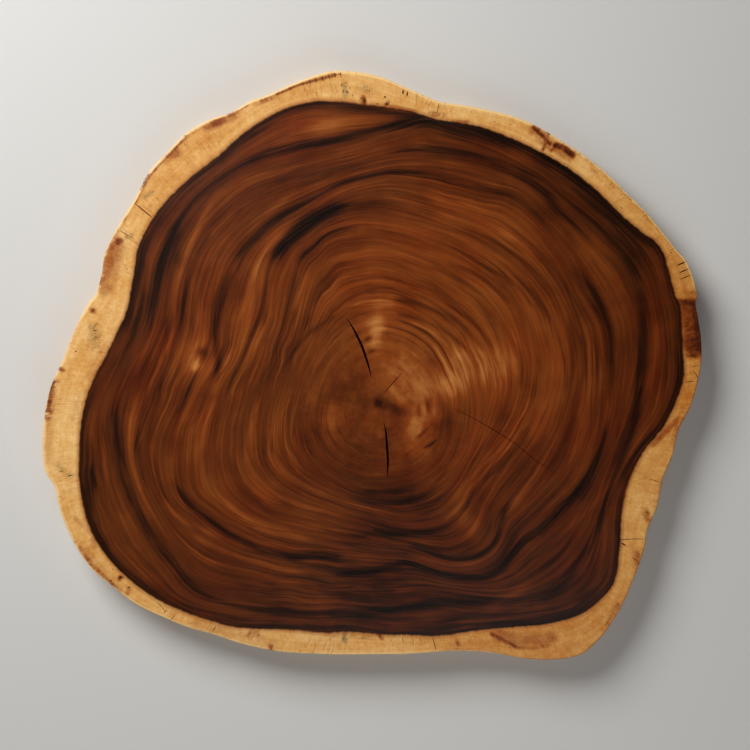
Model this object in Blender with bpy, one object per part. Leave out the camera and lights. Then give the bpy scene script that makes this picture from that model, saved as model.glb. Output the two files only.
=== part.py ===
"""A round live-edge wood slice: one thick cross-cut of a broad, lobed trunk, debarked and polished.

It lies on its back with the show face up. Metres, +Z up. The mesh is built about the pith, the centre
that the growth rings run round, and the object is then placed so that the middle of its bounding box
stands over the world's origin with the underside at z = 0.
"""

import math

import bmesh
import bpy
import numpy as np

MM = 0.001

# Driving dimensions
THICKNESS = 0.090
FACE_ROUND_OVER = 0.005
UNDERSIDE_ROUND_OVER = 0.004
EDGE_COLUMNS = 288
FACE_ROUND_ROWS = 4
UNDERSIDE_ROUND_ROWS = 3
SIDE_ROWS = 5

# The trunk narrows downwards: the underside lies this far inside the show face, on average and as it varies
MEAN_TAPER = 0.014
TAPER_SWING = 0.007
TAPER_LOBES = 3
TAPER_TURN_DEG = 40
# The flutes of the trunk lean a little round it on the way down
FLUTE_LEAN_DEG = 0.9
# Shallow ripples run down the debarked edge between the face and the underside
RIPPLE_DEPTH = 0.0022
RIPPLES_ROUND = 41
RIPPLE_GROUPS = 7
RIPPLE_TURN_DEG = 65

# The outline of the show face: bearing about the pith in degrees, counter-clockwise from +X, and radius in mm
OUTLINE_MM = [
    (0, 726), (5, 746), (10, 760), (15, 766), (17.5, 770), (18.5, 779), (24.5, 785), (27, 776),
    (30, 769), (35, 761), (40, 752), (45, 749), (50, 744), (55, 739), (62.5, 735), (70, 721),
    (77.5, 710), (80, 713), (85, 731), (90, 754), (97.5, 772), (102.5, 765), (110, 753), (112.5, 755),
    (117, 750), (120, 758), (125, 762), (130, 754), (135, 747), (140, 730), (147.5, 721), (151.5, 716),
    (155, 701), (159, 696), (161, 704), (167.5, 719), (172.5, 732), (177.5, 754), (185, 773), (190, 781),
    (192, 780), (194.5, 768), (197.5, 770), (202.5, 771), (210, 761), (215, 741), (220, 723), (225, 698),
    (230, 676), (235, 653), (240, 639), (247.5, 619), (255, 599), (262.5, 586), (270, 580), (277.5, 584),
    (285, 593), (290, 609), (295, 636), (300, 680), (305, 721), (309, 746), (312, 748), (315, 745),
    (320, 734), (325, 719), (332, 700), (335, 688), (340, 689), (345, 682), (350, 692), (355, 699),
]

# The two open drying cracks beside the pith: bearing, radius in mm and opening in mm along each
CRACKS_MM = {
    "upper_crack": [
        (102, 58, 0.0), (102.5, 74, 2.4), (103, 92, 3.8), (104, 115, 4.6),
        (105, 138, 4.6), (106.5, 161, 4.0), (108, 184, 2.8), (110, 212, 0.0),
    ],
    "lower_crack": [
        (290, 44, 0.0), (287, 69, 3.0), (284, 92, 4.4), (282, 115, 4.6),
        (280.5, 138, 3.8), (279, 156, 2.6), (278, 175, 0.0),
    ],
}
CRACK_DEPTH = 0.050
CRACK_FLOOR_SHARE = 0.35
CUTTER_OVERRUN = 0.010

SHARP_ANGLE_DEG = 35


def outline_radius(bearing):
    """Radius of the show face's outline in metres: a smooth closed curve through OUTLINE_MM."""
    bearings = np.array([b for b, _ in OUTLINE_MM], float)
    radii = np.array([r for _, r in OUTLINE_MM], float) * MM
    before, after = np.roll(bearings, 1), np.roll(bearings, -1)
    before[0] -= 360
    after[-1] += 360
    slopes = (np.roll(radii, -1) - np.roll(radii, 1)) / (after - before)
    turned = np.asarray(bearing, float) % 360
    start = np.searchsorted(bearings, turned, side="right") - 1
    end = (start + 1) % len(bearings)
    span = after[start] - bearings[start]
    t = (turned - bearings[start]) / span
    return (
        radii[start] * (2 * t**3 - 3 * t**2 + 1)
        + slopes[start] * span * (t**3 - 2 * t**2 + t)
        + radii[end] * (3 * t**2 - 2 * t**3)
        + slopes[end] * span * (t**3 - t**2)
    )


def edge_radius(bearing, height):
    """Radius of the live edge at a height above the underside."""
    down = 1 - height / THICKNESS
    taper = MEAN_TAPER + TAPER_SWING * np.sin(np.radians(TAPER_LOBES * bearing + TAPER_TURN_DEG))
    grouping = np.sin(np.radians(RIPPLE_GROUPS * bearing + RIPPLE_TURN_DEG))
    ripple = np.sin(np.radians(RIPPLES_ROUND * bearing)) * grouping
    fade = math.sin(math.pi * down)
    return outline_radius(bearing + FLUTE_LEAN_DEG * down) - taper * down - RIPPLE_DEPTH * fade * (1 + ripple)


def edge_profile():
    """Height and inset of each row of the edge, from the underside up to the show face."""
    rows = []
    for step in range(UNDERSIDE_ROUND_ROWS):
        turn = math.radians(90 * step / UNDERSIDE_ROUND_ROWS)
        drop = UNDERSIDE_ROUND_OVER
        rows.append((drop * (1 - math.cos(turn)), drop * (1 - math.sin(turn))))
    low, high = UNDERSIDE_ROUND_OVER, THICKNESS - FACE_ROUND_OVER
    for step in range(SIDE_ROWS):
        rows.append((low + (high - low) * step / SIDE_ROWS, 0.0))
    for step in range(FACE_ROUND_ROWS):
        turn = math.radians(90 * step / (FACE_ROUND_ROWS - 1))
        rise = FACE_ROUND_OVER
        rows.append((high + rise * math.sin(turn), rise * (1 - math.cos(turn))))
    return rows


def wood_material():
    """Oiled wood in the slice's mean colour."""
    material = bpy.data.materials.new("oiled_wood")
    material.use_nodes = True
    shader = material.node_tree.nodes["Principled BSDF"]
    shader.inputs["Base Color"].default_value = (0.20, 0.075, 0.025, 1)
    shader.inputs["Roughness"].default_value = 0.42
    shader.inputs["Metallic"].default_value = 0.0
    return material


def slab_mesh():
    """The slab about its pith: rings of points bridged into the edge, closed by the two flat faces."""
    bearings = np.arange(EDGE_COLUMNS) * 360 / EDGE_COLUMNS
    directions = np.column_stack([np.cos(np.radians(bearings)), np.sin(np.radians(bearings))])
    made = bmesh.new()
    rings = []
    for height, inset in edge_profile():
        spots = directions * (edge_radius(bearings, height) - inset)[:, None]
        rings.append([made.verts.new((x, y, height)) for x, y in spots])
    for lower, upper in zip(rings, rings[1:]):
        for column in range(EDGE_COLUMNS):
            following = (column + 1) % EDGE_COLUMNS
            made.faces.new((lower[column], lower[following], upper[following], upper[column]))
    made.faces.new(rings[-1])
    made.faces.new(reversed(rings[0]))
    mesh = bpy.data.meshes.new("wood_slice")
    made.to_mesh(mesh)
    made.free()
    return mesh


def crack_cutter(name, stations):
    """A wedge that follows a crack: as wide as its opening at the face and narrower at its floor."""
    spine = np.array([
        (r * MM * math.cos(math.radians(b)), r * MM * math.sin(math.radians(b))) for b, r, _ in stations
    ])
    half = np.array([opening * MM / 2 for _, _, opening in stations])
    along = np.gradient(spine, axis=0)
    along /= np.linalg.norm(along, axis=1)[:, None]
    across = np.column_stack([-along[:, 1], along[:, 0]])
    top = THICKNESS + CUTTER_OVERRUN
    floor = THICKNESS - CRACK_DEPTH
    # The walls slope evenly from the face to the floor, so above the face they go on widening
    widen = 1 + (1 - CRACK_FLOOR_SHARE) * CUTTER_OVERRUN / CRACK_DEPTH
    made = bmesh.new()
    loops = []
    for height, share in ((floor, CRACK_FLOOR_SHARE), (top, widen)):
        left = spine + across * (half * share)[:, None]
        right = spine - across * (half * share)[:, None]
        round_trip = np.vstack([left, right[-2:0:-1]])
        loops.append([made.verts.new((x, y, height)) for x, y in round_trip])
    count = len(loops[0])
    for corner in range(count):
        following = (corner + 1) % count
        made.faces.new((loops[0][corner], loops[0][following], loops[1][following], loops[1][corner]))
    made.faces.new(loops[1])
    made.faces.new(reversed(loops[0]))
    bmesh.ops.recalc_face_normals(made, faces=made.faces)
    mesh = bpy.data.meshes.new(name)
    made.to_mesh(mesh)
    made.free()
    cutter = bpy.data.objects.new(name, mesh)
    cutter.hide_render = True
    cutter.display_type = "WIRE"
    bpy.context.collection.objects.link(cutter)
    return cutter


def clear_scene():
    for item in list(bpy.data.objects):
        bpy.data.objects.remove(item)


def build():
    clear_scene()
    mesh = slab_mesh()
    mesh.materials.append(wood_material())
    mesh.shade_smooth()
    mesh.set_sharp_from_angle(angle=math.radians(SHARP_ANGLE_DEG))
    slice_object = bpy.data.objects.new("wood_slice", mesh)
    bpy.context.collection.objects.link(slice_object)

    # From the pith to the middle of the bounding box
    corners = np.array([vertex.co[:] for vertex in mesh.vertices])
    middle = (corners.min(axis=0) + corners.max(axis=0)) / 2
    slice_object.location = (-middle[0], -middle[1], 0)

    for name, stations in CRACKS_MM.items():
        cutter = crack_cutter(name, stations)
        cutter.parent = slice_object
        cut = slice_object.modifiers.new(name, "BOOLEAN")
        cut.operation = "DIFFERENCE"
        cut.solver = "EXACT"
        cut.object = cutter


build()
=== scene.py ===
"""The look of a round live-edge wood slice: its ringed, polished face, pale sapwood rim and drying cracks.

Metres, +Z up, lying with the show face up. Places on the slice are given about its pith, the centre that
the growth rings run round, as a bearing in degrees counter-clockwise from +X and a radius in millimetres.
A growth coordinate runs from 0 at the pith to GROWTH_AT_BARK at the outline and follows the traced rings
in between, so that the grain, drawn in it, bends as the rings of the tree do.
"""

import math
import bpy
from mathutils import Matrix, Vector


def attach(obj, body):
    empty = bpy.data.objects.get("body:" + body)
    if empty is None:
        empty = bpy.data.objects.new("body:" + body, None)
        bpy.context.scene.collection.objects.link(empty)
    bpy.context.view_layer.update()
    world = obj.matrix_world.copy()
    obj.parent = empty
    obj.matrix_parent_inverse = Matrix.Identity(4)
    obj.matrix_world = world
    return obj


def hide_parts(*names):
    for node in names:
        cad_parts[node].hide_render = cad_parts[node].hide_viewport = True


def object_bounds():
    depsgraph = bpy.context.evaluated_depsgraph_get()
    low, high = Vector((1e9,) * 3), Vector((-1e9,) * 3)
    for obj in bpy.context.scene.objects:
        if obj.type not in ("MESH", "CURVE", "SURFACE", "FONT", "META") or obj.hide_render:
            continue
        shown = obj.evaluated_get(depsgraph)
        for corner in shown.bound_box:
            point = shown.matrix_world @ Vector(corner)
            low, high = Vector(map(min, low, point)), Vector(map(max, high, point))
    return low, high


bl_info = {
    "name": "Live-edge wood slice",
    "version": (1, 0, 0),
    "blender": (4, 5, 0),
    "location": "View3D > Sidebar > Wood slice",
    "description": "Builds a polished round wood slice with its rings, sapwood, cracks and live edge",
    "category": "Add Mesh",
}

import bmesh
import bpy
import numpy as np
from mathutils import Vector

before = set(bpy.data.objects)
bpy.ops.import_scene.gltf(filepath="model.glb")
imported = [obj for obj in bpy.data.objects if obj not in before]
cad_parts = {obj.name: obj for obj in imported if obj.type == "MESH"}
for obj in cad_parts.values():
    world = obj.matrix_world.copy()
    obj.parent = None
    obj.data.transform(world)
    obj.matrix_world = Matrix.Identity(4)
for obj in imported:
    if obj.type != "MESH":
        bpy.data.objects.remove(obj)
CAD_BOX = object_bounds()

MM = 0.001
THICKNESS = CAD_BOX[1].z - CAD_BOX[0].z

# The outline of the show face: bearing and radius in mm
OUTLINE_MM = [
    (0, 726), (5, 746), (10, 760), (15, 766), (17.5, 770), (18.5, 779), (24.5, 785), (27, 776), (30, 769),
    (35, 761), (40, 752), (45, 749), (50, 744), (55, 739), (62.5, 735), (70, 721), (77.5, 710), (80, 713),
    (85, 731), (90, 754), (97.5, 772), (102.5, 765), (110, 753), (112.5, 755), (117, 750), (120, 758),
    (125, 762), (130, 754), (135, 747), (140, 730), (147.5, 721), (151.5, 716), (155, 701), (159, 696),
    (161, 704), (167.5, 719), (172.5, 732), (177.5, 754), (185, 773), (190, 781), (192, 780), (194.5, 768),
    (197.5, 770), (202.5, 771), (210, 761), (215, 741), (220, 723), (225, 698), (230, 676), (235, 653),
    (240, 639), (247.5, 619), (255, 599), (262.5, 586), (270, 580), (277.5, 584), (285, 593), (290, 609),
    (295, 636), (300, 680), (305, 721), (309, 746), (312, 748), (315, 745), (320, 734), (325, 719),
    (332, 700), (335, 688), (340, 689), (345, 682), (350, 692), (355, 699),
]

# Where the dark heartwood ends, with its small bays
HEART_MM = [
    (0, 687), (5, 709), (10, 715), (15, 725), (17.5, 732), (20, 730), (25, 738), (27.5, 744), (30, 741),
    (32.5, 727), (37.5, 710), (45, 703), (50, 698), (55, 692), (60, 686), (70, 678), (77.5, 667),
    (82.5, 674), (87.5, 680), (92.5, 688), (97.5, 700), (102.5, 709), (107.5, 709), (112.5, 701),
    (117.5, 689), (122.5, 676), (130, 673), (137.5, 671), (142.5, 665), (147.5, 654), (150, 642),
    (155, 624), (160, 614), (165, 620), (170, 633), (175, 654), (180, 672), (185, 685), (190, 696),
    (195, 709), (202.5, 720), (207.5, 718), (212.5, 708), (217.5, 693), (222.5, 675), (227.5, 653),
    (232.5, 631), (237.5, 611), (242.5, 586), (247.5, 564), (252.5, 550), (257.5, 542), (262.5, 531),
    (267.5, 530), (272.5, 534), (277.5, 538), (282.5, 549), (287.5, 559), (292.5, 568), (297.5, 585),
    (302.5, 610), (307.5, 641), (312.5, 669), (315, 679), (320, 686), (322.5, 685), (325, 675), (330, 646),
    (335, 621), (340, 609), (345, 610), (350, 625), (355, 660), (357.5, 674),
]

# Rings inside the heart that the grain follows, from the pith outwards
INNER_RING_MM = [
    (0, 196), (30, 191), (60, 196), (90, 198), (105, 189), (120, 177), (135, 166), (150, 161), (165, 161),
    (180, 168), (195, 182), (210, 193), (225, 198), (240, 198), (270, 202), (285, 207), (300, 212),
    (315, 212), (330, 207), (345, 200),
]
SECOND_RING_MM = [
    (0, 357), (10, 375), (20, 386), (30, 396), (45, 400), (60, 396), (75, 396), (90, 405), (98, 407),
    (107, 403), (112, 386), (117, 375), (125, 334), (133, 299), (142, 276), (150, 269), (157, 258),
    (168, 260), (180, 269), (192, 285), (205, 306), (217, 306), (230, 288), (245, 269), (260, 269),
    (271, 281), (280, 299), (290, 317), (300, 331), (310, 322), (318, 308), (328, 304), (340, 315),
    (350, 334),
]
THIRD_RING_MM = [
    (0, 439), (10, 458), (20, 467), (30, 474), (40, 476), (50, 472), (60, 462), (70, 455), (80, 458),
    (90, 462), (100, 455), (107, 446), (112, 437), (118, 428), (123, 416), (130, 396), (135, 370),
    (140, 345), (147, 331), (155, 324), (163, 324), (168, 334), (175, 345), (180, 350), (190, 375),
    (200, 400), (208, 412), (215, 403), (225, 380), (235, 350), (245, 329), (255, 320), (265, 320),
    (275, 329), (283, 343), (288, 363), (292, 383), (297, 405), (302, 416), (307, 421), (312, 411),
    (316, 393), (322, 386), (330, 393), (340, 409), (350, 423),
]
MIDDLE_RING_MM = [
    (0, 534), (10, 547), (18, 558), (30, 552), (40, 559), (50, 568), (57, 568), (62, 552), (70, 541),
    (80, 535), (87, 529), (92, 520), (100, 506), (105, 495), (110, 485), (120, 478), (130, 469), (137, 455),
    (143, 439), (150, 421), (155, 405), (160, 393), (166, 396), (172, 409), (180, 430), (190, 467),
    (203, 499), (208, 495), (212, 478), (218, 465), (225, 445), (230, 432), (235, 416), (240, 405),
    (245, 389), (250, 375), (255, 370), (262, 363), (270, 363), (277, 368), (283, 380), (288, 405),
    (293, 432), (298, 451), (303, 469), (308, 475), (312, 472), (317, 469), (322, 478), (327, 488),
    (332, 497), (340, 518), (350, 524),
]
FIFTH_RING_MM = [
    (0, 600), (10, 632), (20, 649), (28, 653), (36, 635), (45, 626), (55, 626), (60, 621), (70, 607),
    (80, 593), (88, 575), (95, 559), (103, 552), (112, 554), (120, 559), (130, 554), (137, 545), (145, 524),
    (150, 508), (155, 494), (160, 485), (165, 485), (170, 490), (175, 501), (180, 511), (186, 538),
    (192, 561), (200, 566), (208, 559), (215, 552), (225, 527), (233, 490), (240, 469), (248, 444),
    (255, 435), (262, 425), (272, 421), (283, 430), (290, 453), (297, 488), (305, 534), (312, 561),
    (320, 575), (328, 570), (334, 559), (340, 554), (346, 559), (352, 575),
]
OUTER_RING_MM = [
    (0, 655), (20, 697), (28, 704), (45, 672), (60, 660), (70, 660), (77, 661), (80, 665), (85, 644),
    (90, 626), (95, 616), (100, 612), (106, 616), (112, 621), (120, 626), (130, 621), (138, 607),
    (145, 589), (150, 575), (155, 559), (160, 550), (165, 552), (170, 566), (175, 582), (180, 598),
    (190, 607), (203, 607), (217, 604), (225, 603), (230, 587), (235, 559), (240, 534), (245, 511),
    (255, 490), (260, 478), (268, 474), (280, 478), (287, 485), (293, 511), (300, 545), (307, 587),
    (313, 621), (320, 633), (327, 612), (334, 584), (340, 577), (346, 584), (352, 610),
]

# The growth coordinate of each traced ring, from the pith to the outline
GROWTH_AT_HEART = 0.65
GROWTH_AT_BARK = 0.72
GROWTH_RINGS = [
    (0.19, INNER_RING_MM), (0.33, SECOND_RING_MM), (0.395, THIRD_RING_MM), (0.47, MIDDLE_RING_MM),
    (0.54, FIFTH_RING_MM), (0.59, OUTER_RING_MM), (GROWTH_AT_HEART, HEART_MM),
    (GROWTH_AT_BARK, OUTLINE_MM),
]

# The two open drying cracks beside the pith: bearing, radius in mm and opening in mm along each
CRACKS_MM = {
    "upper_crack": [
        (102, 58, 0.0), (102.5, 74, 2.6), (103, 92, 4.2), (104, 115, 5.4),
        (105, 138, 5.6), (106.5, 161, 4.8), (108, 184, 3.2), (110, 212, 0.0),
    ],
    "lower_crack": [
        (290, 44, 0.0), (287, 69, 3.4), (284, 92, 5.0), (282, 115, 5.4),
        (280.5, 138, 4.6), (279, 156, 3.2), (278, 175, 0.0),
    ],
}
# Fine checks that wander along a ray of the heart
RAY_CHECKS_MM = {
    "long_ray_check": [
        (357, 166, 0.0), (352, 214, 1.1), (346, 292, 1.3), (343, 340, 1.1), (340, 391, 1.1),
        (338.5, 449, 0.0),
    ],
    "pith_check": [(56, 20, 0.0), (52.5, 48, 1.9), (51, 74, 1.5), (50.5, 98, 0.0)],
}

# Straight hairline checks and ticks in the sapwood: bearing, inner and outer radius and opening in mm
HAIRLINES_MM = [
    (140.5, 664, 727, 3.0), (78.3, 676, 708, 1.7), (146.1, 684, 715, 1.8), (224.6, 676, 692, 1.2),
    (226.4, 674, 692, 1.5), (234.2, 630, 654, 1.5), (283.4, 550, 589, 1.9), (344.4, 648, 682, 1.3),
    (3.9, 708, 734, 1.5), (6.6, 727, 752, 1.4), (22.2, 750, 781, 2.4), (24.6, 758, 782, 3.6),
    (23.3, 755, 780, 3.2), (27.5, 758, 770, 1.2), (35, 745, 759, 0.9), (43.1, 731, 745, 1.2),
    (85.2, 712, 724, 4.2), (84.4, 708, 721, 3.6), (96.3, 752, 766, 2.0), (97.3, 753, 767, 2.2),
    (98.4, 752, 765, 2.2), (99.5, 750, 764, 1.8), (100.7, 748, 763, 2.2), (101.8, 747, 761, 1.8),
    (103.0, 749, 760, 1.6), (105.4, 745, 755, 1.4), (95.5, 714, 724, 1.8), (96.2, 716, 728, 1.8),
    (96.3, 733, 741, 1.8), (94.6, 706, 714, 1.5), (94.9, 722, 732, 1.4), (91.4, 712, 722, 1.2),
    (92.4, 688, 704, 3.8), (165.6, 664, 676, 1.8), (166.8, 658, 668, 1.6), (193.3, 717, 733, 1.9),
    (192.2, 738, 750, 1.6), (191.2, 744, 752, 1.3), (262.0, 538, 552, 2.0), (259.5, 541, 551, 1.1),
    (266.5, 534, 546, 1.0), (270.8, 527, 542, 2.4), (273.4, 541, 553, 1.0), (276.2, 540, 557, 1.2),
    (278.6, 546, 566, 1.0), (280.4, 549, 560, 1.2), (288.6, 576, 588, 1.6), (297.2, 600, 622, 1.5),
    (246.8, 610, 622, 1.4), (337.9, 664, 680, 1.8), (328.8, 684, 704, 1.8), (330.2, 646, 661, 4.0),
]
# Checks in the sapwood that bend or run aslant
SLANTED_CHECKS_MM = {
    "lower_right_check": [
        (330.6, 636, 0.0), (331.0, 648, 1.5), (331.9, 664, 1.3), (332.6, 680, 1.4), (333.2, 696, 0.0),
    ],
    "right_check": [(6.0, 728, 0.0), (5.2, 736, 1.5), (4.1, 742, 1.4), (2.9, 750, 0.0)],
    "lower_left_check": [(221.9, 688, 0.0), (222.7, 682, 1.1), (223.8, 682, 1.1), (225.0, 688, 0.0)],
}

# Small dark insect holes and pinholes in the sapwood: bearing, radius and width in mm
HOLES_MM = [
    (38.5, 720, 3.4), (27.1, 760, 3), (67.3, 701, 3), (64.4, 711, 3), (75.8, 692, 2.6), (72, 704, 2.6),
    (46.8, 732, 3.4), (88.5, 704, 5.5), (88.1, 688, 6), (89.9, 688, 4.5), (93.4, 697, 3), (162, 687, 5.5),
    (170.3, 703, 4.5), (214.2, 714, 8.5), (216.7, 711, 5), (212.2, 718, 3.4), (213.7, 736, 5),
    (217.4, 721, 3), (291.2, 585, 3), (306.7, 674, 3.4), (316.6, 715, 2.6), (353, 685, 2.6),
    (351.5, 690, 2.6), (29.5, 752, 2.4), (31.2, 748, 2.4), (52, 700, 2.6), (61.5, 694, 2.4),
    (109, 730, 2.4), (187, 742, 2.2), (298.5, 640, 3), (302.5, 640, 2.4), (153.5, 668, 2.6),
    (146.4, 692, 2.6),
]

# How pale the sapwood is round the slice, partly its own tone and partly painted shade that darkens it
# towards the lower right: bearing and tone, from 0, golden, to 1, pale
SAPWOOD_TONES_AND_SHADE = [
    (0, 0.22), (22, 0.36), (40, 0.46), (60, 0.54), (80, 0.58), (100, 0.56), (120, 0.50), (150, 0.52),
    (165, 0.64), (180, 0.64), (200, 0.62), (230, 0.56), (250, 0.58), (270, 0.54), (290, 0.34), (310, 0.30),
    (328, 0.42), (338, 0.52), (346, 0.42), (353, 0.26),
]

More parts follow.
